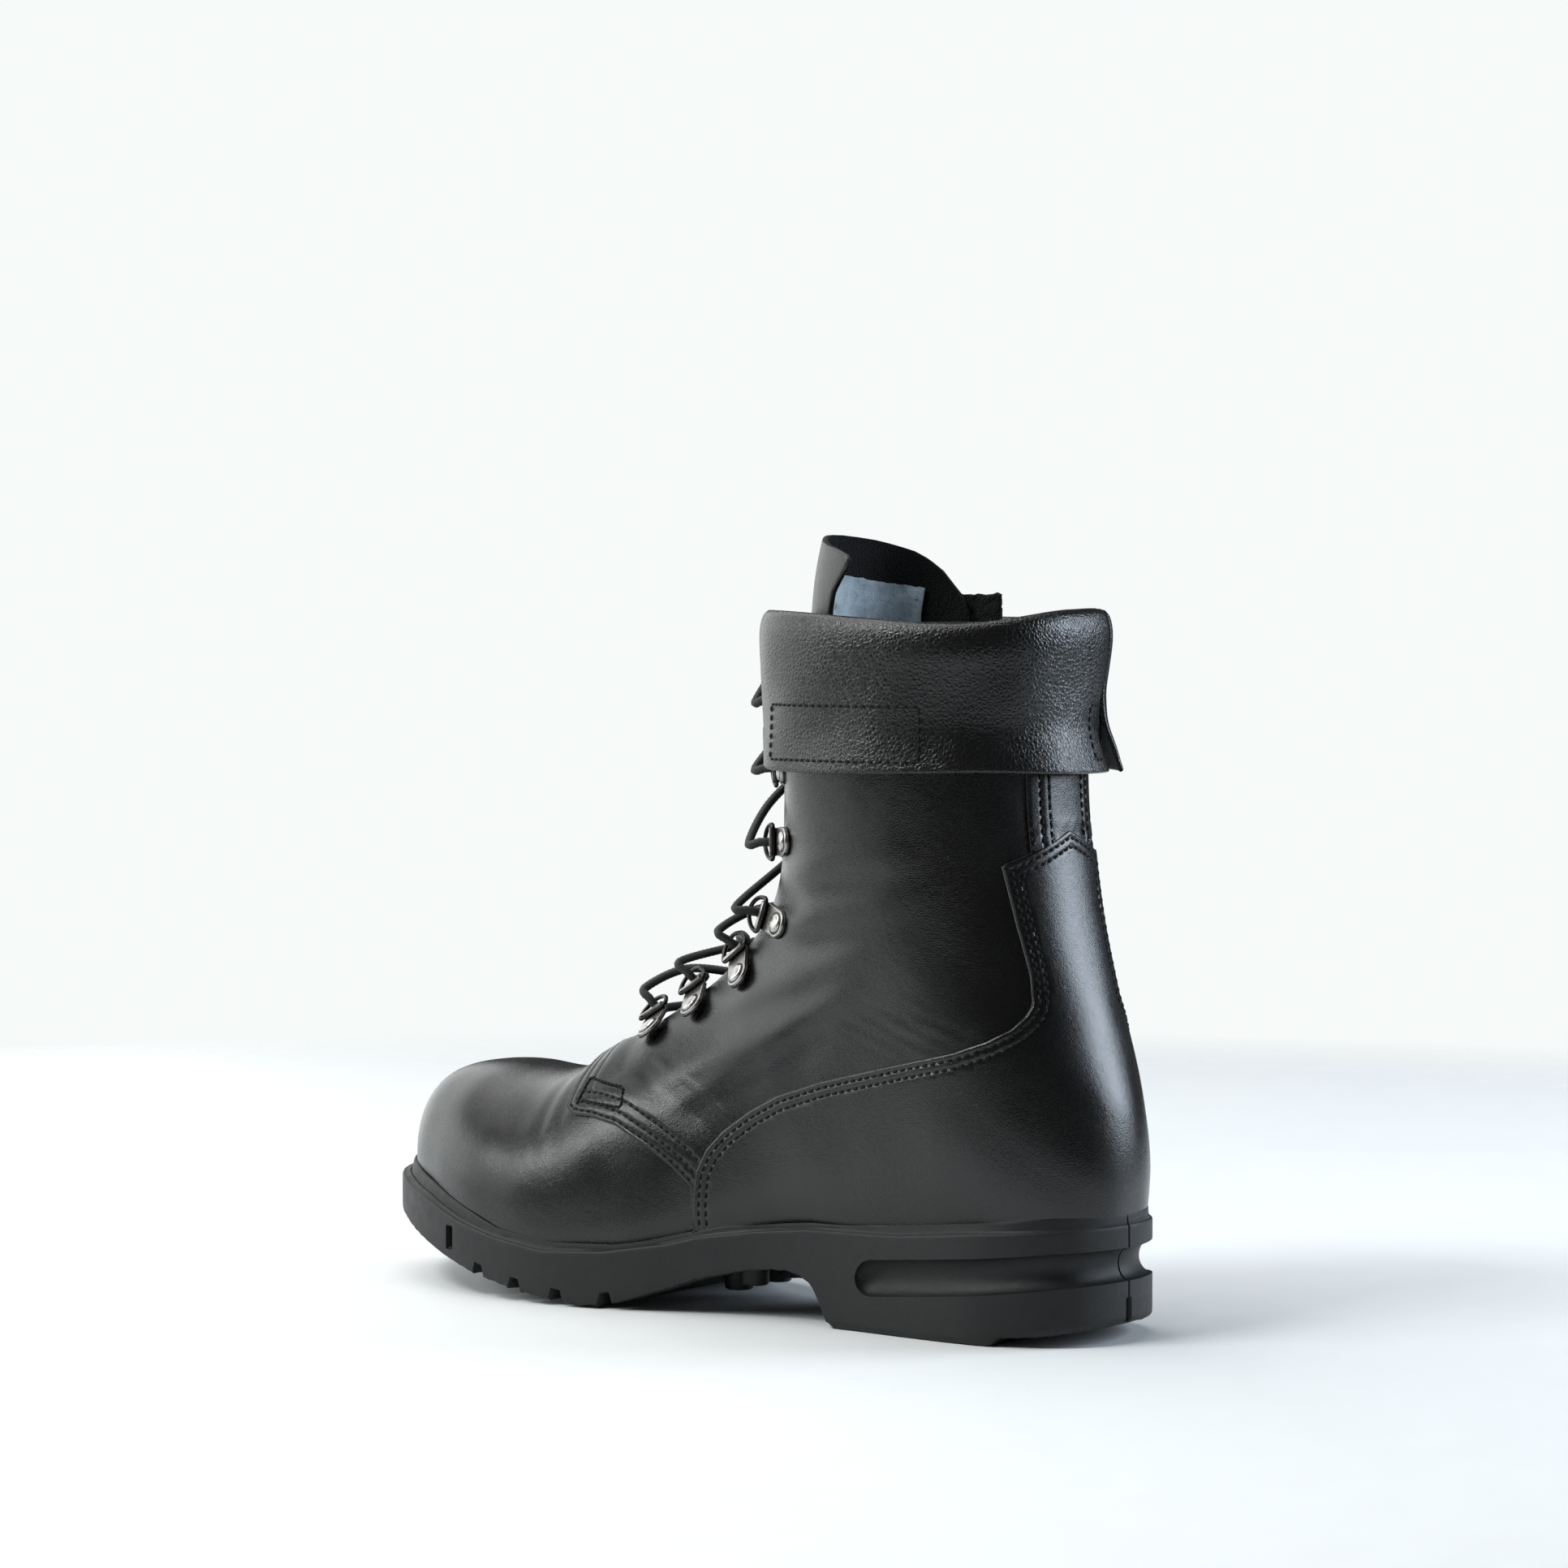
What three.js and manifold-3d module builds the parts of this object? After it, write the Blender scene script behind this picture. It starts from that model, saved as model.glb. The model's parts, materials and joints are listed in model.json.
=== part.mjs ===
// A left fire-service boot: steel toe cap, laced shaft with D-ring eyelets, turned-down collar and
// cleated sole.
// Millimetres, +Z up. The toe points along -Y and the lateral side faces +X.
// Lengths along the boot are written as f, the distance forward of the heel's rearmost point.
import * as THREE from "three";
import { mergeVertices } from "three/addons/utils/BufferGeometryUtils.js";
import Module from "manifold-3d";

const wasm = await Module();
wasm.setup();

// ---------------------------------------------------------------- driving dimensions
const SOLE_LENGTH = 305;
const GAP = 0.3; // clearance between touching pieces
const UPPER_TOP = 230; // where the quarters end, under the rolled collar
const LACE_GAP = 17.5; // half-width of the opening between the two facings
const WALL_FOOT = 2.2; // how far above the last's bottom the upper's walls end

// Layers of the upper, as distances outside the last (inner face, outer face).
const LEATHER = [-1.7, 0];
const OVERLAY = [0.3, 1.7];
const BACKSTAY = [0.3, 1.5];
const STIFFENER = [-3.9, -2.2];
const SHAFT_LINING = [-3.6, -2.2];
const FOOT_LINING = [-5.4, -4.2];
const GUSSET = [-5.6, -4.4];
const TONGUE = [-8.5, -6.5];
const FELT = [-9.9, -8.8];
const INSOLE_INSET = 14; // from the sole's outline to the edge of the insole board
const INSOLE_RISE = 9; // top of the insole stack above the last's bottom

// Rings of the last from the toe's nose to the collar. Each ring leans from its top (instep or shin) point
// to its bottom (sole or heel) point, and is a superellipse around the line that joins them:
// [topF, topZ, bottomF, bottomZ, lateral half-width, medial half-width, centre, widest at,
// top power, bottom power]
const LAST = [
  [298, 54, 298, 36.5, 9, 9, -8, 0.57, 2, 2.2],
  [294.5, 61, 294.5, 33.5, 17.5, 18, -7, 0.61, 2.1, 2.6],
  [288.5, 67.5, 288.5, 31, 25, 26, -6, 0.66, 2.2, 3.2],
  [280, 72.5, 280, 29, 32.5, 34, -5, 0.72, 2.3, 3.8],
  [269, 75.5, 269, 25.5, 39.5, 40.5, -4, 0.76, 2.3, 4],
  [255, 76.2, 255, 20, 45.5, 45.5, -2.5, 0.75, 2.3, 4.5],
  [238, 75, 238, 14, 50, 49.5, -1, 0.73, 2.2, 4.5],
  [223, 76, 220, 10.5, 51, 51, 0, 0.72, 2.1, 4],
  [207, 83.5, 198, 10.5, 50, 50, 0, 0.72, 2.05, 4],
  [190, 94, 172, 12.5, 46, 45, 0, 0.72, 2.05, 3.9],
  [173, 105.5, 144, 18.5, 40.5, 39, 0, 0.7, 2.1, 3.8],
  [157, 117, 112, 24, 37.5, 36, 0, 0.67, 2.2, 3.2],
  [146, 127.5, 76, 23, 38, 37, 0, 0.64, 2.3, 3],
  [138.5, 138, 38, 21.5, 39, 38, 0, 0.61, 2.3, 2.6],
  [134.5, 149, 10, 27, 40, 39, 0, 0.6, 2.3, 2.3],
  [132.5, 160, 3, 46, 40.5, 40, 0, 0.58, 2.3, 2.1],
  [131.5, 171, 5, 72, 41, 41, 0, 0.56, 2.3, 2],
  [130.5, 182, 14.3, 104, 41.5, 41.5, 0, 0.54, 2.3, 2.1],
  [130, 194, 22.7, 136, 43, 43, 0, 0.53, 2.3, 2.2],
  [130, 207, 27.5, 168, 44.5, 44.5, 0, 0.52, 2.3, 2.25],
  [130.5, 220, 28.3, 200, 45.5, 45.5, 0, 0.52, 2.3, 2.3],
  [131, 234, 27, 233, 46, 46, 0, 0.52, 2.3, 2.3],
];
const AROUND = 20; // columns of the last's mesh
const THROAT_RING = 7; // the ring where the tongue comes out from under the vamp

// Bottom of the last, heel to toe, as [f, z]: the insole parts lie on this line.
const BASE_LINE = LAST.slice(0, 14)
  .map((ring) => [ring[2], ring[3]])
  .reverse();

// Sole outline seen from above, as [f, s], lateral edge from heel to toe, then the medial edge back.
const SOLE_LATERAL = [
  [0, 0], [5, 19], [15, 30], [30, 36.5], [50, 38.5], [95, 37], [120, 38], [150, 43],
  [180, 50], [205, 54], [225, 54], [245, 51], [265, 44], [282, 33], [296, 18], [303, 5],
];
const SOLE_MEDIAL = [
  [305, -6], [302, -17], [294, -28], [282, -39.5], [265, -49], [245, -54], [225, -55], [205, -52],
  [180, -44], [150, -35], [120, -31], [95, -33], [50, -38], [30, -36], [15, -30], [5, -19],
];
const SOLE_TOP_EDGE = [
  [-3, 38.5], [39, 35.9], [68, 33], [104, 32], [124, 29.8], [145, 26.6], [157, 23.4], [180, 19.6],
  [203, 18.5], [225, 21.5], [243, 25.5], [264, 31.5], [285, 35.2], [308, 36.5],
];
const TREAD_LINE = [
  [308, 26], [296, 24.3], [280, 21.5], [264, 16.5], [250, 12], [234, 7.5], [214, 3.5], [196, 1], [180, 0],
];
const ARCH_LINE = [
  [168, 4], [156, 8], [145, 12], [128, 16], [114, 17.5],
];
const HEEL_LINE = [
  [103, 15.5], [97, 10], [95, 0], [30, 0], [-3, 7],
];
const STUDS = [[122, 12], [122, -10], [136, 0], [136, 22], [136, -20], [150, 12], [150, -10]];
const LUG_DEPTH = 4;
const LUG_CHANNEL = 5.5;
const HEEL_GROOVE_DEPTH = 3.5;

// Outlines of the upper's panels in side view, as [f, z].
const VAMP_SEAM = [
  [148.5, 43], [156, 49], [166, 55], [180, 61.5], [191, 63.5], [203, 64], [203.5, 72], [204, 92],
];
const FOXING_EDGE = [
  [147.7, 38], [146.9, 47.9], [143.2, 55.6], [136.8, 62.3], [126.3, 69.5], [114.5, 75.5], [96, 81.5],
  [76.7, 86.2], [59.3, 90.3], [43.8, 93.8], [33.5, 97.7], [27.4, 101.4], [24.3, 105.4], [23.1, 109.3],
  [24.6, 118.3], [28.9, 133.9], [33.6, 153.7],
];
const FOXING_APEX = [25, 163.5];
// The medial side's upright is narrower: it replaces the last points of the edge.
const FOXING_MEDIAL_UPRIGHT = [
  [43.8, 93], [33, 95.5], [25, 99], [20.5, 103.5], [19, 109.5], [21.3, 118], [25, 133], [28.2, 148],
  [30, 157],
];

// Rivets of the D-ring clips, bottom pair first, as [f, s, z] on the lateral facing, and how far each
// clip is turned down from square to the facing.
const EYELETS = [
  [178.2, 22.6, 91.9, 0], [159.3, 23.4, 101.1, 0], [138.2, 25.2, 112.9, 0], [122.2, 26, 131, 0.3],
  [121, 24.4, 158.7, 0.1], [123, 22.9, 182.3, 0], [122, 22.9, 206, 0],
];
const CLIP = {
  radius: 4.4, neck: 4.1, reach: 9, plate: 0.9, lift: 0.45, barrel: 1.9, bore: 1.1, barrelHalf: 4.1,
};
const RIVET = { radius: 3, height: 1.2 };
const RING = { wire: 0.75, half: 5.6, length: 8.4, tilt: 0.12, barLift: 2.5 };
const LACE = {
  radius: 1.5, sides: 8, through: 4.8, straight: 2.8, over: 4.4, under: 0.5, tuck: -4.5, tip: 14,
};
const OVER_NOSE = [8, 5.8]; // where the lace leaves a ring: reach from its bar, distance out of it
const UNDER_NOSE = [9.8, -5.4];

// The turned-down collar.
const CUFF = { inner: 3.1, thickness: 1.7, bottom: 183, rim: 235.2, rollIn: -1.2, flare: 3.2 };
const CUFF_LATERAL = [0.5, 3.5]; // angles around the shaft, from the front towards the lateral side
const CUFF_MEDIAL = [3.54, 5.72];

// ---------------------------------------------------------------- frame and solids
function at(f, s, z) {
  return new THREE.Vector3(s, SOLE_LENGTH / 2 - f, z);
}

function toManifold(geometry) {
  const bare = geometry.clone();
  bare.deleteAttribute("normal");
  bare.deleteAttribute("uv");
  const merged = mergeVertices(bare, 1e-4);
  const vertProperties = new Float32Array(merged.attributes.position.array);
  const triVerts = new Uint32Array(merged.index.array);
  return new wasm.Manifold(new wasm.Mesh({ numProp: 3, vertProperties, triVerts }));
}

function toGeometry(solid) {
  const made = solid.getMesh();
  const geometry = new THREE.BufferGeometry();
  geometry.setAttribute("position", new THREE.BufferAttribute(made.vertProperties, 3));
  geometry.setIndex(new THREE.BufferAttribute(made.triVerts, 1));
  geometry.computeVertexNormals();
  return geometry;
}

function fromTriangles(points, triangles) {
  const geometry = new THREE.BufferGeometry().setFromPoints(points);
  geometry.setIndex(triangles.flat());
  geometry.computeVertexNormals();
  return geometry;
}

// A side-view outline of [f, z] points, extruded across the boot from s0 to s1.
function sidePrism(outline, s0 = -90, s1 = 90) {
  const points = outline.map(([f, z]) => new THREE.Vector2(SOLE_LENGTH / 2 - f, z));
  const depth = s1 - s0;
  const geometry = new THREE.ExtrudeGeometry(new THREE.Shape(points), { depth, bevelEnabled: false });
  const turn = new THREE.Matrix4().makeBasis(
    new THREE.Vector3(0, 1, 0),
    new THREE.Vector3(0, 0, 1),
    new THREE.Vector3(1, 0, 0),
  );
  geometry.applyMatrix4(turn).translate(s0, 0, 0);
  return toManifold(geometry);
}

// A top-view outline of [f, s] points, extruded upwards from z0 to z1.
function planPrism(outline, z0, z1) {
  const points = outline.map(([f, s]) => new THREE.Vector2(s, SOLE_LENGTH / 2 - f));
  const depth = z1 - z0;
  const geometry = new THREE.ExtrudeGeometry(new THREE.Shape(points), { depth, bevelEnabled: false });
  return toManifold(geometry.translate(0, 0, z0));
}

function box(f0, f1, s0, s1, z0, z1) {
  return planPrism([[f0, s0], [f1, s0], [f1, s1], [f0, s1]], z0, z1);
}

function cylinder(radius, height, sides, centre) {
  const geometry = new THREE.CylinderGeometry(radius, radius, height, sides);
  return toManifold(geometry.rotateX(Math.PI / 2).translate(centre.x, centre.y, centre.z));
}

// A smooth open curve through [a, b] points.
function smooth(points, divisions) {
  const curve = new THREE.SplineCurve(points.map(([a, b]) => new THREE.Vector2(a, b)));
  return curve.getPoints(divisions).map((p) => [p.x, p.y]);
}

// A closed smooth outline through [a, b] points.
function smoothLoop(points, divisions) {
  const curve = new THREE.CatmullRomCurve3(points.map(([a, b]) => new THREE.Vector3(a, b, 0)), true);
  return curve.getPoints(divisions).slice(0, divisions).map((p) => [p.x, p.y]);
}

// A closed outline moved inwards by a distance.
function inset(outline, distance) {
  return outline.map((point, i) => {
    const before = outline[(i + outline.length - 1) % outline.length];
    const after = outline[(i + 1) % outline.length];
    const along = new THREE.Vector2(after[0] - before[0], after[1] - before[1]).normalize();
    return [point[0] + along.y * distance, point[1] - along.x * distance];
  });
}

function lineAt(line, f) {
  const sorted = [...line].sort((p, q) => p[0] - q[0]);
  const k = sorted.findIndex((p) => p[0] >= f);
  if (k < 0) return sorted[sorted.length - 1][1];
  if (k === 0) return sorted[0][1];
  const [a, b] = [sorted[k - 1], sorted[k]];
  return a[1] + ((b[1] - a[1]) * (f - a[0])) / (b[0] - a[0]);
}

// A closed slab over a grid of {point, normal}, between two distances along the normals.
function slab(grid, inner, outer) {
  const rows = grid.length;
  const cols = grid[0].length;
  const points = [inner, outer].flatMap((distance) =>
    grid.flatMap((row) => row.map((g) => g.point.clone().addScaledVector(g.normal, distance))),
  );
  const id = (layer, r, c) => (layer * rows + r) * cols + c;
  const triangles = [];
  const quad = (a, b, c, d) => triangles.push([a, b, c], [a, c, d]);
  for (let r = 0; r + 1 < rows; r++) {
    for (let c = 0; c + 1 < cols; c++) {
      quad(id(1, r, c), id(1, r, c + 1), id(1, r + 1, c + 1), id(1, r + 1, c));
      quad(id(0, r, c), id(0, r + 1, c), id(0, r + 1, c + 1), id(0, r, c + 1));
    }
    quad(id(1, r, 0), id(1, r + 1, 0), id(0, r + 1, 0), id(0, r, 0));
    quad(id(0, r, cols - 1), id(0, r + 1, cols - 1), id(1, r + 1, cols - 1), id(1, r, cols - 1));
  }
  for (let c = 0; c + 1 < cols; c++) {
    quad(id(0, 0, c), id(0, 0, c + 1), id(1, 0, c + 1), id(1, 0, c));
    quad(id(1, rows - 1, c), id(1, rows - 1, c + 1), id(0, rows - 1, c + 1), id(0, rows - 1, c));
  }
  const solid = toManifold(fromTriangles(points, triangles));
  if (solid.volume() > 0) return solid;
  return toManifold(fromTriangles(points, triangles.map(([a, b, c]) => [a, c, b])));
}

// ---------------------------------------------------------------- the last
function ringPoint(ring, phi) {
  const [topF, topZ, bottomF, bottomZ, lateral, medial, centre, widest, topPower, bottomPower] = ring;
  const cos = Math.cos(phi);
  const sin = Math.sin(phi);
  const power = cos >= 0 ? topPower : bottomPower;
  const c = Math.sign(cos) * Math.abs(cos) ** (2 / power);
  const s = Math.sign(sin) * Math.abs(sin) ** (2 / power);
  const down = cos >= 0 ? widest * (1 - c) : widest - (1 - widest) * c;
  const half = sin >= 0 ? lateral : medial;
  return at(topF + (bottomF - topF) * down, centre + half * s, topZ + (bottomZ - topZ) * down);
}

// A ring at a fractional position in LAST.
function ringBetween(position) {
  const k = Math.min(Math.floor(position), LAST.length - 2);
  const share = position - k;
  return LAST[k].map((value, i) => value + (LAST[k + 1][i] - value) * share);
}

// The point and outward normal of the last at a ring position and an angle.
function lastFrame(position, phi) {
  const step = 0.02;
  const low = Math.max(position - step, 0);
  const high = Math.min(position + step, LAST.length - 1);
  const point = ringPoint(ringBetween(position), phi);
  const upward = ringPoint(ringBetween(high), phi).sub(ringPoint(ringBetween(low), phi)).normalize();
  const around = ringPoint(ringBetween(position), phi + step)
    .sub(ringPoint(ringBetween(position), phi - step))
    .normalize();
  const normal = around.clone().cross(upward).normalize();
  return { point, normal, upward };
}

const lastGrid = LAST.map((ring, i) =>
  Array.from({ length: AROUND }, (_, j) => {
    const phi = (j / AROUND) * 2 * Math.PI;
    const before = ringPoint(LAST[Math.max(i - 1, 0)], phi);
    const after = ringPoint(LAST[Math.min(i + 1, LAST.length - 1)], phi);
    const upward = after.sub(before).normalize();
    const turn = (2 * Math.PI) / AROUND / 2;
    const around = ringPoint(ring, phi + turn).sub(ringPoint(ring, phi - turn)).normalize();
    return { point: ringPoint(ring, phi), normal: around.cross(upward).normalize() };
  }),
);

// The last moved outwards by a distance, closed at both ends.
function lastVolume(distance, firstRing = 0) {
  const rows = lastGrid.slice(firstRing);
  const points = rows.flatMap((row) => row.map((g) => g.point.clone().addScaledVector(g.normal, distance)));
  const triangles = [];
  for (let r = 0; r + 1 < rows.length; r++) {
    for (let j = 0; j < AROUND; j++) {
      const k = (j + 1) % AROUND;
      const [a, b] = [r * AROUND + j, r * AROUND + k];
      triangles.push([a, b, b + AROUND], [a, b + AROUND, a + AROUND]);
    }
  }
  const cap = (row, flip) => {
    const ring = points.slice(row * AROUND, (row + 1) * AROUND);
    const centre = ring.reduce((sum, p) => sum.add(p), new THREE.Vector3()).divideScalar(AROUND);
    points.push(centre);
    for (let j = 0; j < AROUND; j++) {
      const [a, b] = [row * AROUND + j, row * AROUND + ((j + 1) % AROUND)];
      triangles.push(flip ? [b, a, points.length - 1] : [a, b, points.length - 1]);
    }
  };
  cap(rows.length - 1, false);
  cap(0, true);
  return toManifold(fromTriangles(points, triangles));
}

const BELOW_WALLS = [
  ...BASE_LINE.map(([f, z]) => [f, z + WALL_FOOT]),
  [310, lineAt(BASE_LINE, 298) + WALL_FOOT],
  [310, -20],
  [-20, -20],
  [-20, BASE_LINE[0][1] + WALL_FOOT],
];
const belowWalls = sidePrism(BELOW_WALLS);
const soleOutline = smoothLoop([...SOLE_LATERAL, ...SOLE_MEDIAL], 48);

// A slice of the space under the foot, between two heights above the last's bottom line.
function baseSlice(low, high, fStart, fEnd) {
  const line = BASE_LINE.filter(([f]) => f > fStart && f < fEnd);
  const whole = [[fStart, lineAt(BASE_LINE, fStart)], ...line, [fEnd, lineAt(BASE_LINE, fEnd)]];
  const lower = whole.map(([f, z]) => [f, z + low]);
  const upper = [...whole].reverse().map(([f, z]) => [f, z + high]);
  return sidePrism([...lower, ...upper]);
}

function insideSole(distance) {
  return planPrism(inset(soleOutline, distance), -10, 80);
}

const insoleSpace = baseSlice(-20, INSOLE_RISE, -10, 300).intersect(insideSole(INSOLE_INSET));

// One layer of the upper, open at the bottom, between the faces [inner, outer].
function layer([inner, outer], firstRing = 0) {
  const wall = lastVolume(outer, firstRing).subtract(lastVolume(inner, firstRing));
  return wall.subtract(belowWalls).subtract(insoleSpace);
}

function belowTop(solid) {
  return solid.subtract(box(-30, 330, -90, 90, UPPER_TOP, 300));
}

// ---------------------------------------------------------------- materials
function material(color, roughness, metalness = 0) {
  return new THREE.MeshStandardMaterial({ color, roughness, metalness });
}

const leather = material(0x161618, 0.38);
const softLeather = material(0x1b1b1d, 0.5);
const lining = material(0x2a2a2c, 0.9);
const rubber = material(0x2b2d30, 0.75);
const steel = material(0x9a9c9f, 0.35, 1);
const board = material(0x8f8676, 0.9);
const foam = material(0x303236, 0.95);
const felt = material(0xa9b7c6, 0.95);
const pile = material(0x0c0c0d, 1);
const gunmetal = material(0x6f7072, 0.35, 1);
const cord = material(0x0f0f10, 0.8);

const boot = new THREE.Group();
boot.name = "boot";

function add(name, solid, look) {
  const mesh = new THREE.Mesh(toGeometry(solid), look);
  mesh.name = name;
  boot.add(mesh);
  return mesh;
}

// ---------------------------------------------------------------- sole unit
function soleBody() {
  const side = [...SOLE_TOP_EDGE, ...TREAD_LINE, ...ARCH_LINE, ...HEEL_LINE];
  return sidePrism(side).intersect(planPrism(soleOutline, -10, 60));
}

// A rounded slot in side view, cut into the heel's wall and running round its back.
function heelGroove() {
  const lower = [[-5, 20.6], [12, 19], [37, 16], [78, 12.5], [83, 14], [84, 18]];
  const upper = [[82, 22.5], [76, 24], [37, 28], [12, 30.5], [-5, 31]];
  const slot = [...lower, ...upper];
  return sidePrism(slot).subtract(planPrism(inset(soleOutline, HEEL_GROOVE_DEPTH), -10, 60));
}

// A channel across the tread between two lugs, from the edge towards the middle.
function treadChannel(f, s0, s1, skew) {
  const half = LUG_CHANNEL / 2;
  return [[f - half, s0], [f + half, s0], [f + half + skew, s1], [f - half + skew, s1]];
}

function treadChannels() {
  const floor = TREAD_LINE.map(([f, z]) => [f, z + LUG_DEPTH]);
  const depth = sidePrism([[330, 40], [310, 30], ...floor, [-20, LUG_DEPTH], [-20, -20], [330, -20]]);
  const lateral = [272, 254, 236, 218, 200, 183].map((f) => treadChannel(f, 70, 20, -7));
  const medial = [276, 258, 240, 222, 204, 186].map((f) => treadChannel(f, -70, -20, -7));
  const middle = [[264, 6], [246, 4], [228, 2], [210, 0], [192, 0]].map(([f, s]) =>
    treadChannel(f, s - 18, s + 18, 0),
  );
  const heel = [[38, 60, 14], [66, 60, 14], [38, -60, -14], [66, -60, -14]].map(([f, s0, s1]) =>
    treadChannel(f, s0, s1, 0),
  );
  const cuts = [...lateral, ...medial, ...middle, ...heel].map((outline) =>
    channelPrism(outline).intersect(depth),
  );
  return wasm.Manifold.union(cuts);
}

function channelPrism(outline) {
  const turned = THREE.ShapeUtils.isClockWise(outline.map(([f, s]) => new THREE.Vector2(s, -f)));
  return planPrism(turned ? [...outline].reverse() : outline, -20, 60);
}

function buildSole() {
  const heelSide = sidePrism([[-20, -20], [148.6, -20], [148.6, 60], [-20, 60]]);
  const boardSpace = baseSlice(GAP, INSOLE_RISE, -10, 300).intersect(insideSole(INSOLE_INSET));
  const overlaySpace = lastVolume(OVERLAY[1] + GAP).intersect(heelSide);
  const upperSpace = wasm.Manifold.union([lastVolume(GAP), overlaySpace, boardSpace]);
  const studs = STUDS.map(([f, s]) => cylinder(4, 8, 12, at(f, s, lineAt(ARCH_LINE, f) + 1)));
  const sole = soleBody().subtract(heelGroove()).subtract(treadChannels());
  add("outsole", wasm.Manifold.union([sole, ...studs]).subtract(upperSpace), rubber);
}

function buildInsole() {
  const edge = insideSole(INSOLE_INSET + GAP);
  add("steel_midsole_plate", baseSlice(0.7, 1.7, 12, 288).intersect(lastVolume(-GAP)), steel);
  add("insole_board", baseSlice(2.4, 4.4, -10, 300).intersect(edge), board);
  add("footbed", baseSlice(4.7, 8.5, -10, 300).intersect(edge), foam);
}

// ---------------------------------------------------------------- upper
const LATERAL_HALF = box(-30, 330, GAP / 2, 90, -20, 300);
const MEDIAL_HALF = box(-30, 330, -90, -GAP / 2, -20, 300);

function laceOpening(half) {
  return sidePrism([[205, 60], [205, 150], [150, 240], [95, 240], [95, 150], [150, 90]], -half, half);
}

function buildUpper() {
  const quarterSide = [[148.5, -20], ...VAMP_SEAM, [150, 245], [-30, 245], [-30, -20]];
  const vampEdge = VAMP_SEAM.map(([f, z]) => [f + GAP, z - GAP]);
  const vampSide = [[148.5 + GAP, -20], ...vampEdge, [320, 92], [320, -20]];
  const outer = layer(LEATHER);
  const quarters = belowTop(outer.intersect(sidePrism(quarterSide)).subtract(laceOpening(LACE_GAP)));
  add("vamp", outer.intersect(sidePrism(vampSide)), leather);
  add("quarter_lateral", quarters.intersect(LATERAL_HALF), leather);
  add("quarter_medial", quarters.intersect(MEDIAL_HALF), leather);

  const foxingSide = (edge) => [[147.7, -20], ...smooth(edge, 26), FOXING_APEX, [-30, 163.5], [-30, -20]];
  const medialEdge = [...FOXING_EDGE.slice(0, 9), ...FOXING_MEDIAL_UPRIGHT];
  const foxingSpace = wasm.Manifold.union([
    sidePrism(foxingSide(FOXING_EDGE), 0, 90),
    sidePrism(foxingSide(medialEdge), -90, 0),
  ]);
  add("heel_foxing", layer(OVERLAY).intersect(foxingSpace), leather);
  const backstrip = box(-30, 60, -14.5, 14.5, 164.2, UPPER_TOP);
  add("backstay", layer(BACKSTAY).intersect(backstrip), leather);
}

function buildLinings() {
  const shaft = [[228, -20], [228, 90], [240, 240], [-30, 240], [-30, 80.5], [90, 80.5], [96, -20]];
  const shaftSpace = sidePrism(shaft).subtract(laceOpening(LACE_GAP + 1.5));
  const shaftLining = belowTop(layer(SHAFT_LINING, 1).intersect(shaftSpace));
  add("quarter_lining_lateral", shaftLining.intersect(LATERAL_HALF), lining);
  add("quarter_lining_medial", shaftLining.intersect(MEDIAL_HALF), lining);

  const foot = layer(FOOT_LINING, 1);
  const vampLining = [[118, -20], [118, 68], [160, 80], [320, 82], [320, -20]];
  add("vamp_lining", foot.intersect(sidePrism(vampLining)), lining);
  const grip = [[-30, -20], [-30, 90], [96, 90], [116, 66], [116, -20]];
  add("heel_grip_lining", foot.intersect(sidePrism(grip)), lining);

  const stiff = layer(STIFFENER, 1);
  add("steel_toe_cap", stiff.intersect(sidePrism([[236, -20], [232, 90], [320, 90], [320, -20]])), steel);
  const counter = [[-30, -20], [-30, 78], [70, 78], [88, 55], [90, -20]];
  add("heel_counter", stiff.intersect(sidePrism(counter)), board);
}

// ---------------------------------------------------------------- tongue
// Angles and heights of the tongue's rows that stand above the collar: [half-angle, forward, up].
const TONGUE_TOP = [[1.25, 1, 12], [0.95, 2.5, 21], [0.4, 4, 25.5]];
const TONGUE_HALF_ANGLE = 1.02;
const TONGUE_SPREAD = 0.09; // how much each of the last rings adds to the half-angle
const TONGUE_SPREAD_RING = 17;
const TONGUE_COLUMNS = 8;

function tongueRow(position, halfAngle, forward, up, columns = TONGUE_COLUMNS) {
  return Array.from({ length: columns + 1 }, (_, c) => {
    const phi = halfAngle * ((2 * c) / columns - 1);
    const { point, normal } = lastFrame(position, phi);
    return { point: point.add(new THREE.Vector3(0, -forward, up)), normal };
  });
}

function tongueHalfAngle(ring) {
  return TONGUE_HALF_ANGLE + TONGUE_SPREAD * Math.max(ring - TONGUE_SPREAD_RING, 0);
}

function buildTongue() {
  const top = LAST.length - 1;
  const rows = [];
  for (let k = THROAT_RING - 1; k <= top; k++) rows.push(tongueRow(k, tongueHalfAngle(k), 0, 0));
  TONGUE_TOP.forEach((shape) => rows.push(tongueRow(top, ...shape)));
  add("tongue", slab(rows, ...TONGUE), softLeather);

  const patch = [];
  const [half, forward, up] = TONGUE_TOP[0];
  for (let k = top - 4; k <= top; k++) {
    patch.push(tongueRow(k, tongueHalfAngle(k) / 2, 0, 0, TONGUE_COLUMNS / 2));
  }
  patch.push(tongueRow(top, half / 2, forward, up, TONGUE_COLUMNS / 2));
  add("tongue_felt_patch", slab(patch, ...FELT), felt);

  [["lateral", 1], ["medial", -1]].forEach(([side, sign]) => {
    const fold = [];
    for (let k = 12; k <= 19; k++) {
      fold.push([0.75, 0.9, 1.05].map((phi) => lastFrame(k, sign * phi)));
    }
    add(`tongue_gusset_${side}`, slab(fold, ...GUSSET), softLeather);
  });
}

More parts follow.
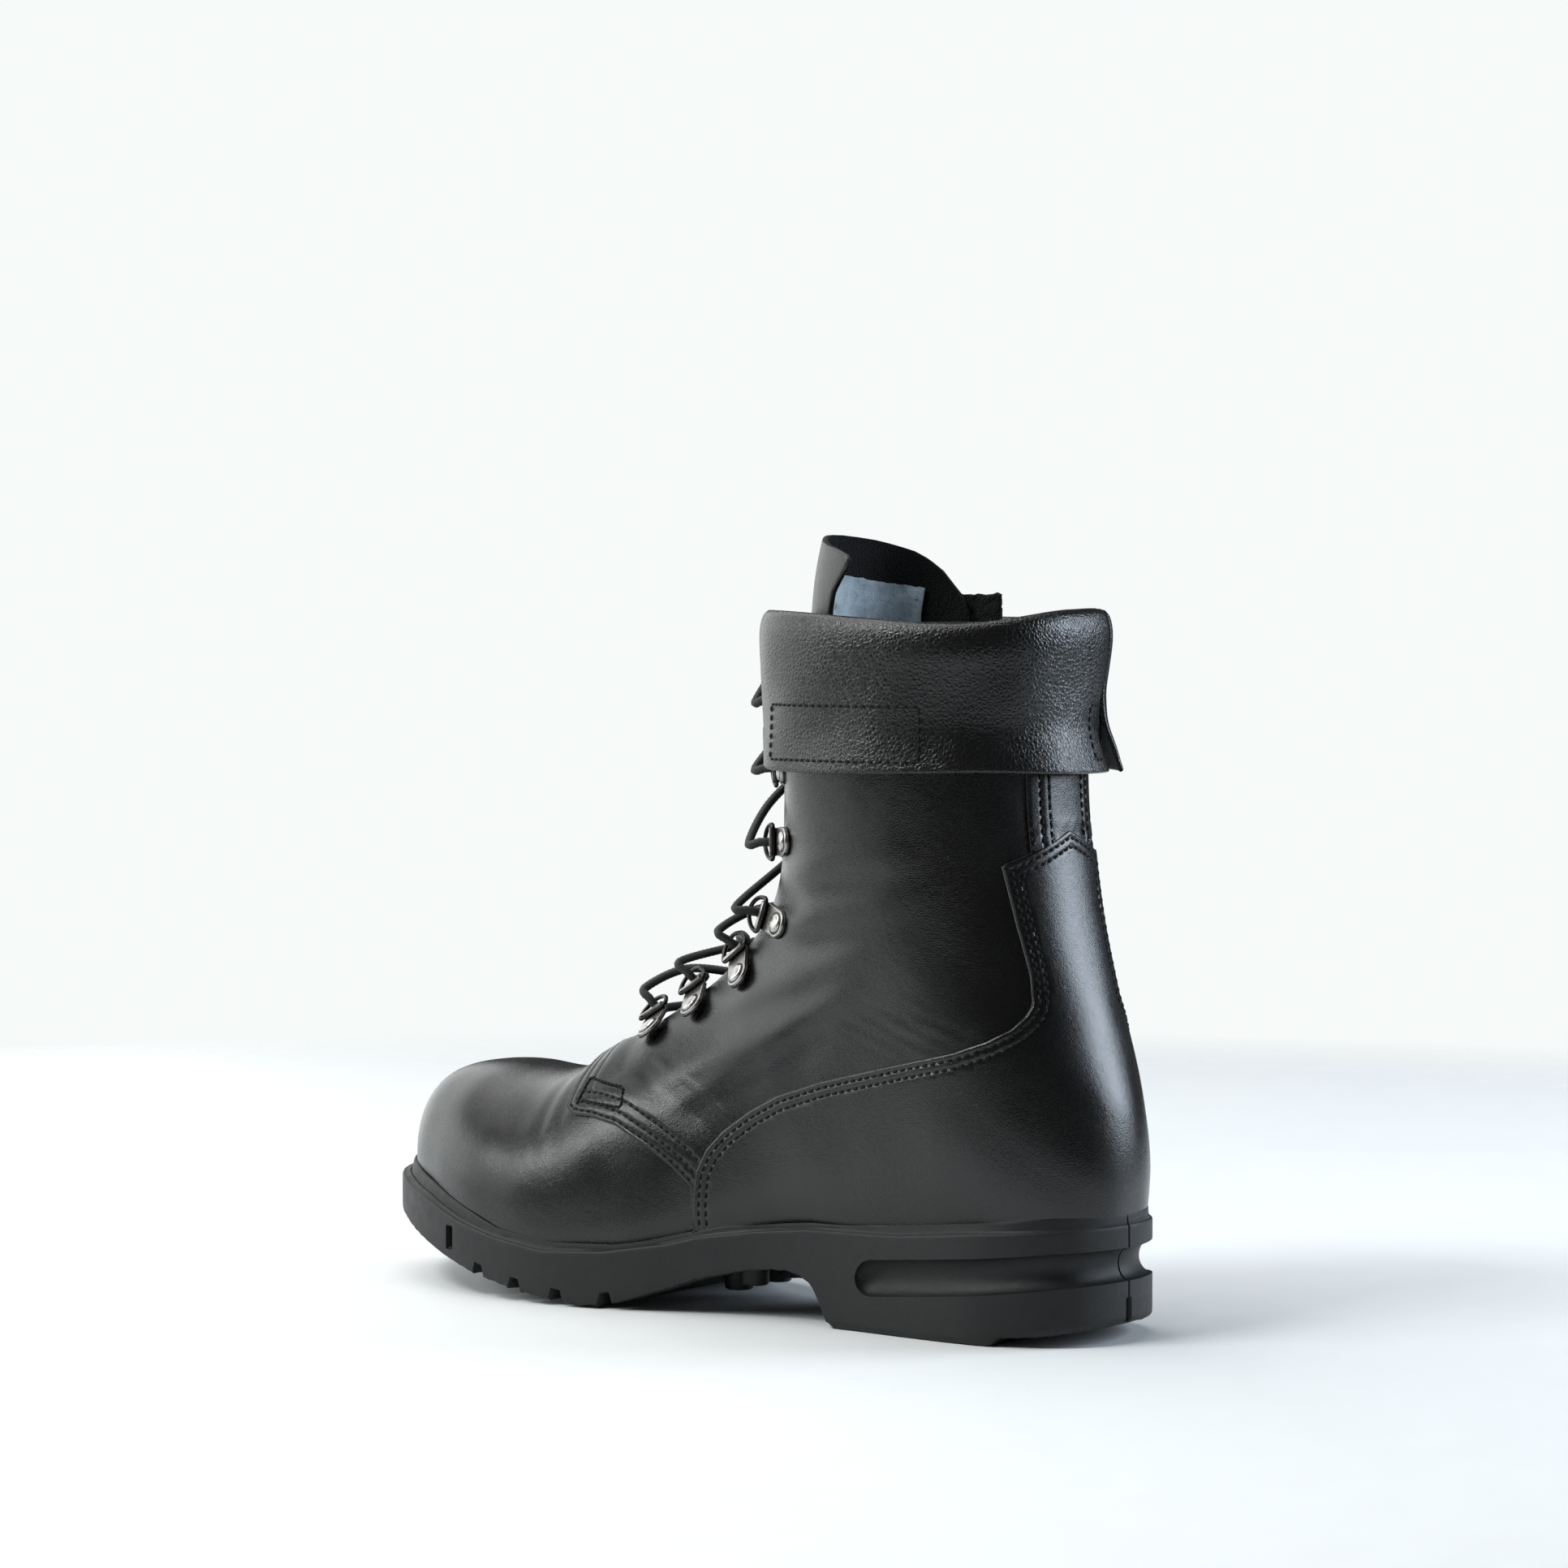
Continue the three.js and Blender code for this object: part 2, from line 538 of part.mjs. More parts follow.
// ---------------------------------------------------------------- turned-down collar
// A point of the collar's skin: the shaft's section at a height, moved outwards.
function shaftFrame(phi, z, distance) {
  const top = LAST[LAST.length - 1];
  const lower = LAST[LAST.length - 3];
  const share = THREE.MathUtils.clamp((z - 185) / (234 - 185), 0, 1);
  const ring = top.map((value, i) => lower[i] + (value - lower[i]) * share);
  [ring[1], ring[3]] = [z, z];
  const { x, y } = ringPoint(ring, phi);
  const step = 0.02;
  const along = ringPoint(ring, phi + step).sub(ringPoint(ring, phi - step)).normalize();
  const normal = along.cross(new THREE.Vector3(0, 0, 1)).normalize();
  return { point: new THREE.Vector3(x, y, z).addScaledVector(normal, distance), normal };
}

// The collar's profile, from the inner edge over the rim and down the outside: [distance, z, outward, up].
function cuffProfile(flare) {
  const { inner, bottom, rim, rollIn } = CUFF;
  return [
    [rollIn, rim - 3, -1, 0.1],
    [0.6, rim - 0.2, -0.2, 1],
    [2.2, rim - 0.4, 0.5, 0.9],
    [inner, rim - 4, 1, 0.1],
    [inner + 0.2, 215, 1, 0],
    [inner + 0.2, 199, 1, 0],
    [inner + flare, bottom, 0.97, 0.2],
  ];
}

function cuffPanel([start, end], columns) {
  const rows = cuffProfile(0).map((_, r) =>
    Array.from({ length: columns + 1 }, (__, c) => {
      const phi = start + ((end - start) * c) / columns;
      const flare = CUFF.flare * (0.5 - 0.5 * Math.cos(phi));
      const [distance, z, outward, up] = cuffProfile(flare)[r];
      const { point, normal } = shaftFrame(phi, z, distance);
      const facing = normal.clone().multiplyScalar(outward).add(new THREE.Vector3(0, 0, up)).normalize();
      return { point, normal: facing };
    }),
  );
  return slab(rows, 0, CUFF.thickness);
}

function shaftPatch([start, end], [z0, z1], [inner, outer], columns) {
  const rows = [z0, z1].map((z) =>
    Array.from({ length: columns + 1 }, (_, c) => shaftFrame(start + ((end - start) * c) / columns, z, 0)),
  );
  return slab(rows, inner, outer);
}

function buildCuff() {
  add("cuff_lateral", cuffPanel(CUFF_LATERAL, 14), softLeather);
  add("cuff_medial", cuffPanel(CUFF_MEDIAL, 10), softLeather);
  add("cuff_hook_patch", shaftPatch([0.95, 1.75], [189, 203], [1.3, 2.7], 5), pile);
  add("shaft_loop_patch", shaftPatch([0.95, 1.75], [189, 203], [0.3, 1.0], 5), pile);
  add("cuff_end_patch", shaftPatch([3.3, 3.75], [187, 204], [1.8, 2.7], 3), pile);
  add("cuff_tab", shaftPatch([4.74, 5.14], [232, 241.5], [-5.4, -3.2], 3), pile);
}

// ---------------------------------------------------------------- D-ring eyelets
// The last's ring position and angle nearest to a point.
function findOnLast(target) {
  let best = { position: 10, phi: 0.6, distance: Infinity };
  let [span, turn] = [5, 0.6];
  for (let round = 0; round < 14; round++) {
    const centre = { ...best };
    for (let i = -4; i <= 4; i++) {
      for (let j = -4; j <= 4; j++) {
        const position = THREE.MathUtils.clamp(centre.position + (i / 4) * span, 0, LAST.length - 1);
        const phi = centre.phi + (j / 4) * turn;
        const distance = ringPoint(ringBetween(position), phi).distanceTo(target);
        if (distance < best.distance) best = { position, phi, distance };
      }
    }
    span *= 0.6;
    turn *= 0.6;
  }
  return best;
}

// The axes of one eyelet: out of the leather, and towards the lace gap.
function eyeletFrame([f, s, z, turn]) {
  const { position, phi } = findOnLast(at(f, s, z));
  const { point, normal, upward } = lastFrame(position, phi);
  const square = upward.clone().cross(normal).normalize();
  if (square.x > 0) square.negate();
  const along = normal.clone().cross(square).normalize();
  if (along.z < 0) along.negate();
  const inward = square.multiplyScalar(Math.cos(turn)).addScaledVector(along, -Math.sin(turn));
  return { point, normal, inward };
}

function mirrored({ point, normal, inward }) {
  const flip = (v) => new THREE.Vector3(-v.x, v.y, v.z);
  return { point: flip(point), normal: flip(normal), inward: flip(inward) };
}

// A matrix whose x axis runs towards the lace gap and whose z axis points out of the leather.
function eyeletMatrix({ point, normal, inward }) {
  const y = normal.clone().cross(inward);
  return new THREE.Matrix4().makeBasis(inward, y, normal).setPosition(point);
}

function clipSolid() {
  const { radius, neck, reach, plate, lift, barrel, bore, barrelHalf } = CLIP;
  const outline = new THREE.Shape();
  outline.absarc(0, 0, radius, Math.PI / 2 - 0.25, (3 * Math.PI) / 2 + 0.25, false);
  outline.lineTo(reach, -neck);
  outline.lineTo(reach, neck);
  const thick = { depth: plate, bevelEnabled: false, curveSegments: 6 };
  const leaf = toManifold(new THREE.ExtrudeGeometry(outline, thick).translate(0, 0, lift));
  const sleeve = (r, half) => {
    const tube = new THREE.CylinderGeometry(r, r, 2 * half, 8);
    return toManifold(tube.translate(reach, 0, 0).translate(0, 0, RING.barLift));
  };
  const head = new THREE.CylinderGeometry(RIVET.radius * 0.8, RIVET.radius, RIVET.height, 10);
  const headMiddle = lift + plate + RIVET.height / 2 - 0.05;
  const rivet = toManifold(head.rotateX(Math.PI / 2).translate(0, 0, headMiddle));
  return leaf.add(sleeve(barrel, barrelHalf)).subtract(sleeve(bore, barrelHalf + 2)).add(rivet);
}

// A wire bent to a closed flat loop through [x, y] points.
function wireLoop(loop, radius, sides) {
  const points = [];
  const triangles = [];
  loop.forEach(([x, y], i) => {
    const before = loop[(i + loop.length - 1) % loop.length];
    const after = loop[(i + 1) % loop.length];
    const outward = new THREE.Vector2(after[1] - before[1], before[0] - after[0]).normalize();
    for (let j = 0; j < sides; j++) {
      const angle = (j / sides) * 2 * Math.PI;
      const reach = radius * Math.cos(angle);
      const rise = radius * Math.sin(angle);
      points.push(new THREE.Vector3(x + outward.x * reach, y + outward.y * reach, rise));
      const next = (i + 1) % loop.length;
      const [a, b] = [i * sides + j, i * sides + ((j + 1) % sides)];
      const [c, d] = [next * sides + ((j + 1) % sides), next * sides + j];
      triangles.push([a, d, c], [a, c, b]);
    }
  });
  return fromTriangles(points, triangles);
}

function ringGeometry() {
  const { half, length, wire } = RING;
  const bend = [[0, half - 1.4], [0.4, half - 0.4], [1.4, half]];
  const side = [...bend, [3.2, half * 0.97], [5.6, half * 0.8], [7.5, half * 0.42]];
  const mirror = side.map(([x, y]) => [x, -y]);
  return wireLoop([mirror[0], ...side, [length, 0], ...mirror.slice(1).reverse()], wire, 6);
}

// The D-ring's frame: x from its bar to its nose, z out through the ring.
function ringMatrix(frame) {
  const { point, normal, inward } = frame;
  const bar = point.clone().addScaledVector(inward, CLIP.reach).addScaledVector(normal, RING.barLift);
  const [cos, sin] = [Math.cos(RING.tilt), Math.sin(RING.tilt)];
  const x = inward.clone().multiplyScalar(cos).addScaledVector(normal, sin);
  const z = normal.clone().multiplyScalar(cos).addScaledVector(inward, -sin);
  return new THREE.Matrix4().makeBasis(x, z.clone().cross(x), z).setPosition(bar);
}

const lateralEyelets = EYELETS.map(eyeletFrame);
const medialEyelets = lateralEyelets.map(mirrored);

function buildEyelets() {
  [["lateral", lateralEyelets], ["medial", medialEyelets]].forEach(([side, frames]) => {
    frames.forEach((frame, i) => {
      add(`eyelet_clip_${side}_${i + 1}`, clipSolid().transform(eyeletMatrix(frame).elements), gunmetal);
      const placed = ringMatrix(frame);
      const wire = toManifold(ringGeometry().applyMatrix4(placed));
      const ring = add(`d_ring_${side}_${i + 1}`, wire, gunmetal);
      const axis = new THREE.Vector3(0, side === "lateral" ? -1 : 1, 0).transformDirection(placed);
      ring.userData.hinge = { point: new THREE.Vector3().setFromMatrixPosition(placed), axis };
    });
  });
}

// ---------------------------------------------------------------- lace
// A point in a ring's middle plane: its distance from the bar, and how far out through the ring.
function throughRing(frame, reach, distance) {
  return new THREE.Vector3(reach, 0, distance).applyMatrix4(ringMatrix(frame));
}

// A route that steps from each of its points to the next, so that every point is a section of the tube.
class StepRoute extends THREE.CatmullRomCurve3 {
  getUtoTmapping(u) {
    return u;
  }
}

// The lace between two rings: over the first ring's nose, across the tongue, and in under the nose of
// the second.
function crossing(here, next, lift) {
  const leave = throughRing(here, ...OVER_NOSE);
  const arrive = throughRing(next, ...UNDER_NOSE);
  const out = here.normal.clone().add(next.normal).setX(0).normalize();
  return [leave, leave.clone().lerp(arrive, 0.5).addScaledVector(out, lift), arrive];
}

// The lace's run from the bottom ring of one side up to the top ring, changing sides at each step.
function crossings(startSide) {
  const sides = [lateralEyelets, medialEyelets];
  const lift = startSide === 0 ? LACE.over : LACE.under;
  return EYELETS.flatMap((_, i) => {
    const here = sides[(startSide + i) % 2][i];
    const next = sides[(startSide + i + 1) % 2][i + 1];
    const pass = [
      throughRing(here, LACE.through, -LACE.straight),
      throughRing(here, LACE.through, LACE.straight),
    ];
    return next ? [...pass, ...crossing(here, next, lift)] : [...pass, throughRing(here, ...OVER_NOSE)];
  });
}

// A point on the tongue's front near its middle line, moved outwards from the last.
function onTongue(position, phi, distance) {
  const { point, normal } = lastFrame(position, phi);
  return point.addScaledVector(normal, distance);
}

// The end of the lace beyond the top ring: over to the other side, then tucked down behind the crossings.
function tail(side, turn) {
  const tucked = [20.2, 19, 17.5, 16.2].map((position) => onTongue(position, -side * 0.07, LACE.tuck));
  return [onTongue(20 + turn, side * 0.05, 1.5), ...tucked];
}

function buildLace() {
  const first = crossings(0);
  const second = crossings(1);
  const bottom = [lateralEyelets[0], medialEyelets[0]].map((frame) => throughRing(frame, ...UNDER_NOSE));
  const points = [...[...first, ...tail(1, 0.35)].reverse(), ...bottom, ...second, ...tail(-1, 0.05)];
  const section = new THREE.Shape();
  section.absarc(0, 0, LACE.radius, 0, 2 * Math.PI, false);
  const geometry = new THREE.ExtrudeGeometry(section, {
    steps: points.length - 1,
    curveSegments: LACE.sides / 2,
    extrudePath: new StepRoute(points, false, "centripetal"),
    bevelEnabled: false,
  });
  add("lace", toManifold(geometry), cord);

  addLaceTip("lateral", points[0], points[1]);
  addLaceTip("medial", points[points.length - 1], points[points.length - 2]);
}

function addLaceTip(side, end, before) {
  const along = end.clone().sub(before).normalize();
  const tip = new THREE.CylinderGeometry(LACE.radius, LACE.radius, LACE.tip, 10);
  const turn = new THREE.Quaternion().setFromUnitVectors(new THREE.Vector3(0, 1, 0), along);
  const centre = end.clone().addScaledVector(along, LACE.tip / 2 + GAP);
  tip.applyQuaternion(turn).translate(centre.x, centre.y, centre.z);
  add(`lace_tip_${side}`, toManifold(tip), pile);
}

// ---------------------------------------------------------------- assembly
buildSole();
buildInsole();
buildUpper();
buildLinings();
buildTongue();
buildCuff();
buildEyelets();
buildLace();

// The origin is the middle of the boot's box, on the ground.
const extent = new THREE.Box3().setFromObject(boot, true);
const middle = extent.getCenter(new THREE.Vector3());
boot.position.set(-middle.x, -middle.y, -extent.min.z);

export default boot;
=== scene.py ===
"""A left fire-service boot, standing on a pale floor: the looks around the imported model.

The boot is worked out in millimetres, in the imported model's frame: X lateral, -Y towards the toe, Z up.
f is the distance forward of the heel's rearmost point and s the distance to the lateral side.
"""

import json
import math

import bpy
import numpy as np
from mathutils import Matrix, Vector
from mathutils.bvhtree import BVHTree


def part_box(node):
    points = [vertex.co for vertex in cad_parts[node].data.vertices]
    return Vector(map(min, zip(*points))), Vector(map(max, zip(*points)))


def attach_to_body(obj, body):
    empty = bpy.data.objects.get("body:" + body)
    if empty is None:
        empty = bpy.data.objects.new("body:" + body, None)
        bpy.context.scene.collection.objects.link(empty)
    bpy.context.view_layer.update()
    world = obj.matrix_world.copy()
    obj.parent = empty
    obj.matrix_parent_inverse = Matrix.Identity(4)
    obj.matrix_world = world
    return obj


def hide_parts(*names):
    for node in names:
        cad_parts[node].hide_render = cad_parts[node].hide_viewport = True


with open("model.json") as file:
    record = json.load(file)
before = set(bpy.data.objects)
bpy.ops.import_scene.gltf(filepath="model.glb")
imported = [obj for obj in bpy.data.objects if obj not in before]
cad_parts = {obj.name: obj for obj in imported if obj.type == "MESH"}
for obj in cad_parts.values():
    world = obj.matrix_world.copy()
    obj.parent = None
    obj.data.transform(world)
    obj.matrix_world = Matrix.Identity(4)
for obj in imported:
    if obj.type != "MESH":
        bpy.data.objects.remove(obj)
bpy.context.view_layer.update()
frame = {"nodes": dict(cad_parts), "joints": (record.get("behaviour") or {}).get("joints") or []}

MM = 0.001
SOLE_LENGTH = 305.0
CENTRE_X = 0.321  # the boot's box is centred on the origin
UP = np.array([0.0, 0.0, 1.0])

# ---------------------------------------------------------------- the last
# Rings from the toe's nose to the collar. Each leans from its top point to its bottom point:
# topF, topZ, bottomF, bottomZ, lateral half, medial half, centre, widest at, top power, bottom power
LAST = np.array([
    [299.3, 44, 299.3, 43.9, 0, 0, -8, 0.5, 2, 2],
    [299, 47, 299, 40, 2.5, 2.5, -8, 0.52, 2, 2],
    [298, 54, 298, 36.5, 9, 9, -8, 0.55, 2, 2.2],
    [294.5, 61, 294.5, 33.5, 17.5, 18, -7, 0.61, 2.1, 2.6],
    [288.5, 67.5, 288.5, 31, 25, 26, -6, 0.66, 2.2, 3.2],
    [280, 72.5, 280, 29, 32.5, 34, -5, 0.72, 2.3, 3.8],
    [269, 75.5, 269, 25.5, 39.5, 40.5, -4, 0.76, 2.3, 4],
    [255, 76.2, 255, 20, 45.5, 45.5, -2.5, 0.75, 2.3, 4.5],
    [238, 75, 238, 14, 50, 49.5, -1, 0.73, 2.2, 4.5],
    [223, 76, 220, 10.5, 51, 51, 0, 0.72, 2.1, 4],
    [207, 83.5, 198, 10.5, 50, 50, 0, 0.72, 2.05, 4],
    [190, 94, 172, 12.5, 46, 45, 0, 0.72, 2.05, 3.9],
    [173, 105.5, 144, 18.5, 40.5, 39, 0, 0.7, 2.1, 3.8],
    [157, 117, 112, 24, 37.5, 36, 0, 0.67, 2.2, 3.2],
    [146, 127.5, 76, 23, 38, 37, 0, 0.64, 2.3, 3],
    [138.5, 138, 38, 21.5, 39, 38, 0, 0.61, 2.3, 2.6],
    [134.5, 149, 9.5, 27, 40, 39, 0, 0.6, 2.3, 2.3],
    [132.5, 160, 2.2, 46, 40.5, 40, 0, 0.58, 2.3, 2.1],
    [131.5, 171, 4.2, 72, 41, 41, 0, 0.56, 2.3, 2],
    [130.5, 182, 13.6, 104, 41.5, 41.5, 0, 0.54, 2.3, 2.1],
    [130, 194, 22, 136, 43, 43, 0, 0.53, 2.3, 2.2],
    [130, 207, 27, 168, 44.5, 44.5, 0, 0.52, 2.3, 2.25],
    [130.5, 220, 28, 200, 45.5, 45.5, 0, 0.52, 2.3, 2.3],
    [131, 234, 26.8, 233, 46, 46, 0, 0.52, 2.3, 2.3],
], float)
NOSE_RINGS = 2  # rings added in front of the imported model's first ring
ROW_STEP = 2.1
COLUMNS = 152
UPPER_TOP = 230.0
LACE_GAP = 17.5

# Outlines of the upper's panels in side view, as [f, z].
VAMP_SEAM = [
    [148.5, 43], [156, 49], [166, 55], [180, 61.5], [191, 63.5], [199, 63.6], [203, 65.5], [203.7, 74],
    [204, 95],
]
FOXING_EDGE = [
    [147.9, 30], [147.7, 38], [146.9, 47.9], [143.2, 55.6], [136.8, 62.3], [126.3, 69.5], [114.5, 75.5],
    [96, 81.5], [76.7, 86.2], [59.3, 90.3], [43.8, 93.8], [33.5, 97.7], [27.4, 101.4], [24.3, 105.4],
    [23.1, 109.3], [24.6, 118.3], [28.9, 133.9], [33.6, 153.7],
]
FOXING_MEDIAL_EDGE = FOXING_EDGE[:10] + [
    [43.8, 93], [33, 95.5], [25, 99], [20.5, 103.5], [19, 109.5], [21.3, 118], [25, 133], [28.2, 148],
    [30, 157],
]
GABLE_TOP = 164.2  # the foxing's top edge falls from its middle to both sides
GABLE_SLOPE = 0.385
GABLE_SPAN = (27.5, -19.0)
BACKSTAY_HALF = 17.7
BACKSTAY_FOOT = 148.0
VAMP_ROWS = (1.6, 4.6, 8.6)  # how far in from its edge each panel's rows of stitches run
FOXING_ROWS = (2.2, 4.9)
BACKSTAY_ROWS = (4.6, 8.4)
SIDES = (("lateral", 1), ("medial", -1))
CLEAR_OF_BOOT = 200.0  # outside the boot on every side, where rays towards it start

# ---------------------------------------------------------------- sole
SOLE_OUTLINE = [
    [0, 0], [5, 19], [15, 30], [30, 36.5], [50, 38.5], [95, 37], [120, 38], [150, 43],
    [180, 50], [205, 54], [225, 54], [245, 51], [265, 44], [282, 33], [296, 18], [303, 5],
    [305, -6], [302, -17], [294, -28], [282, -39.5], [265, -49], [245, -54], [225, -55], [205, -52],
    [180, -44], [150, -35], [120, -31], [95, -33], [50, -38], [30, -36], [15, -30], [5, -19],
]
SOLE_TOP_EDGE = [
    [-3, 38.5], [39, 35.9], [68, 33], [104, 32], [124, 29.8], [145, 26.6], [157, 23.4], [180, 19.6],
    [203, 18.5], [225, 21.5], [243, 25.5], [264, 31.5], [285, 35.2], [308, 36.5],
]
LIP_LINE = [
    [-3, 41.4], [14, 41.2], [39, 38.5], [71, 35.5], [104, 33.6], [135, 30.4], [147, 27.8], [165, 23.2],
    [177, 21.2], [200, 20.6], [224, 23.4], [238, 28], [264, 35.4], [285, 39.5], [308, 41],
]
TREAD = [
    [-3, 7], [6, 5], [16, 3.4], [29, 2.6], [31, 0.2], [33, 0], [92, 0], [95, 0.5], [97.5, 4], [99.5, 9],
    [102, 12.8], [106, 15.6], [112, 17.2], [120, 17], [128, 16], [145, 12], [156, 8], [168, 4], [180, 0.8],
    [188, 0.2], [196, 1], [214, 3.5], [234, 7.5], [250, 12], [264, 16.5], [280, 21.5], [296, 24.3], [308, 26],
]
SPINE = [[45, 0], [120, 3], [150, 4], [200, 1], [255, -3]]
OUTLINE_STEP = 1.5
LUG_DEPTH = 4.0
CHANNEL_HALF = 2.75
CHANNEL_WALL = 1.1
STUDS = [(122, 12), (122, -10), (136, 0), (136, 22), (136, -20), (150, 12), (150, -10)]

# ---------------------------------------------------------------- layers, as distances outside the last
LEATHER = 1.7
OVERLAY_TOP = 1.75
SEAM_RISE = 1.5  # how far the quarter stands over the vamp where it laps it
LAP = 9.0
FOXING_LAP = 13.0
COVER_FRONT = 147.5  # behind this the foxing lies over the last where the upper enters the sole
EDGE_ROUND = 0.9
OVERLAY_ROUND = 0.8
GROOVE_HALF = 0.8
GROOVE_DEPTH = 0.28
LINING_INNER = -3.6
LINING_OUTER = -2.2
LINING_FOOT = 74.0
LINING_TOP = 231.5
LINING_FRONT = 205.0

# ---------------------------------------------------------------- collar
RIM = 235.2
CUFF_BOTTOM = 183.0
CUFF_THICKNESS = 1.7
SHAFT_RADIUS = 45.0  # turns an angle round the shaft into a length

# ---------------------------------------------------------------- lacing
CLIP_REACH = 9.0
RING_TILT = 0.12
BAR_LIFT = 2.5
CLIP_HALF = 4.7
RING_HALF = 5.8
LACE_RADIUS = 1.45
LACE_OVER = 4.4
LACE_UNDER = 0.5
OVER_NOSE = (8.0, 5.8)  # where the lace leaves a ring: reach from its bar, distance out of it
UNDER_NOSE = (9.8, -5.4)
TIP_LENGTH = 14.3

# ---------------------------------------------------------------- camera
CAMERA_AZIMUTH = math.radians(126.67)
CAMERA_DISTANCE = 1489.0
CAMERA_HEIGHT = 231.0
CAMERA_PAN = math.radians(-0.39)
CAMERA_PITCH = math.radians(2.10)
CAMERA_LENS = 100.27
LIT_POINT = (0.0, 0.0, 0.12)
ROOM_LIGHT = 0.07
FLOOR_RADIUS = 1.0


def place(f, s, z):
    """Points in the model's frame from distances forward, to the lateral side and up."""
    f, s, z = np.broadcast_arrays(f, s, z)
    return np.stack([s + CENTRE_X, SOLE_LENGTH / 2 - f, z], -1).astype(float)


def forward(points):
    return SOLE_LENGTH / 2 - points[..., 1]


def lateral(points):
    return points[..., 0] - CENTRE_X


def unit(v):
    return v / np.maximum(np.linalg.norm(v, axis=-1, keepdims=True), 1e-9)


def smoothstep(x, low, high):
    t = np.clip((x - low) / (high - low), 0, 1)
    return t * t * (3 - 2 * t)


def table_at(table, x):
    table = np.asarray(table, float)
    return np.interp(x, table[:, 0], table[:, 1])


def circle(sides):
    """The cosines and sines of even steps round a circle."""
    turn = np.arange(sides) * 2 * math.pi / sides
    return np.cos(turn), np.sin(turn)


def grid_quads(rows, columns, around=True, over=False):
    """The four corners of a grid's cells. Its columns can close round, and its rows over the end."""
    r, c = np.meshgrid(np.arange(rows if over else rows - 1), np.arange(columns if around else columns - 1),
                       indexing="ij")
    r, c = r.ravel(), c.ravel()
    up, beside = (r + 1) % rows, (c + 1) % columns
    return np.stack([r * columns + c, r * columns + beside, up * columns + beside, up * columns + c], -1)


def tube_faces(rows, sides):
    """The faces of rings of points, closed at both ends."""
    first, last_ring = range(sides), range((rows - 1) * sides, rows * sides)
    return grid_quads(rows, sides).tolist() + [list(reversed(first)), list(last_ring)]


def add_object(name, data):
    thing = bpy.data.objects.new(name, data)
    bpy.context.scene.collection.objects.link(thing)
    return thing


def aim(turn, elevation):
    """Level, and turned from the toe's direction towards the lateral side, then raised."""
    flat = math.cos(elevation)
    return Vector((math.sin(turn) * flat, -math.cos(turn) * flat, math.sin(elevation)))


# ---------------------------------------------------------------- camera and light
def make_camera():
    look = -aim(CAMERA_AZIMUTH + CAMERA_PAN, CAMERA_PITCH)
    data = bpy.data.cameras.new("camera")
    data.lens = CAMERA_LENS
    data.sensor_width = 36.0
    data.clip_end = 100.0
    camera = add_object("camera", data)
    camera.location = (
        (CAMERA_DISTANCE * math.sin(CAMERA_AZIMUTH) + CENTRE_X) * MM,
        -CAMERA_DISTANCE * math.cos(CAMERA_AZIMUTH) * MM,
        CAMERA_HEIGHT * MM,
    )
    camera.rotation_euler = look.to_track_quat("-Z", "Y").to_euler()
    bpy.context.scene.camera = camera


def softbox(name, left, elevation, distance, size, radiance, colour):
    """A square of even light, placed by its angle to the left of the camera and above the floor."""
    away = aim(CAMERA_AZIMUTH - math.radians(left), math.radians(elevation))
    data = bpy.data.lights.new(name, "AREA")
    data.shape = "RECTANGLE"
    data.size, data.size_y = size
    data.energy = radiance * math.pi * size[0] * size[1]
    data.color = colour
    light = add_object(name, data)
    light.location = Vector(LIT_POINT) + away * distance
    light.rotation_euler = (-away).to_track_quat("-Z", "Y").to_euler()
    light.visible_camera = False


def make_studio():
    """A white backdrop all round for the eye, and a dimmer room with soft boxes for the light."""
    world = bpy.data.worlds.new("studio")
    world.use_nodes = True
    tree = world.node_tree
    room = tree.nodes["Background"]
    room.inputs["Color"].default_value = (0.96, 0.98, 1.0, 1)
    room.inputs["Strength"].default_value = ROOM_LIGHT
    backdrop = tree.nodes.new("ShaderNodeBackground")
    backdrop.inputs["Color"].default_value = (0.93, 0.955, 0.95, 1)
    seen = tree.nodes.new("ShaderNodeLightPath")
    mix = tree.nodes.new("ShaderNodeMixShader")
    tree.links.new(seen.outputs["Is Camera Ray"], mix.inputs[0])
    tree.links.new(room.outputs[0], mix.inputs[1])
    tree.links.new(backdrop.outputs[0], mix.inputs[2])
    tree.links.new(mix.outputs[0], tree.nodes["World Output"].inputs["Surface"])
    bpy.context.scene.world = world
    bpy.context.scene.view_settings.view_transform = "Standard"
    softbox("left_window", 100, 12, 1.6, (1.2, 0.8), 2.0, (0.96, 1.0, 1.0))
    softbox("bright_pane", 74, 26, 1.6, (0.36, 0.52), 13.0, (0.97, 1.0, 1.0))
    softbox("high_pane", 56, 50, 1.6, (0.5, 0.4), 20.0, (0.97, 1.0, 1.0))
    softbox("right_window", -98, 20, 1.6, (0.8, 0.9), 9.5, (0.76, 0.87, 1.0))
    softbox("wall", 142, 18, 1.9, (1.9, 1.7), 1.6, (0.97, 1.0, 1.0))
    softbox("ceiling", 130, 72, 1.5, (1.6, 1.4), 2.4, (1.0, 1.0, 1.0))


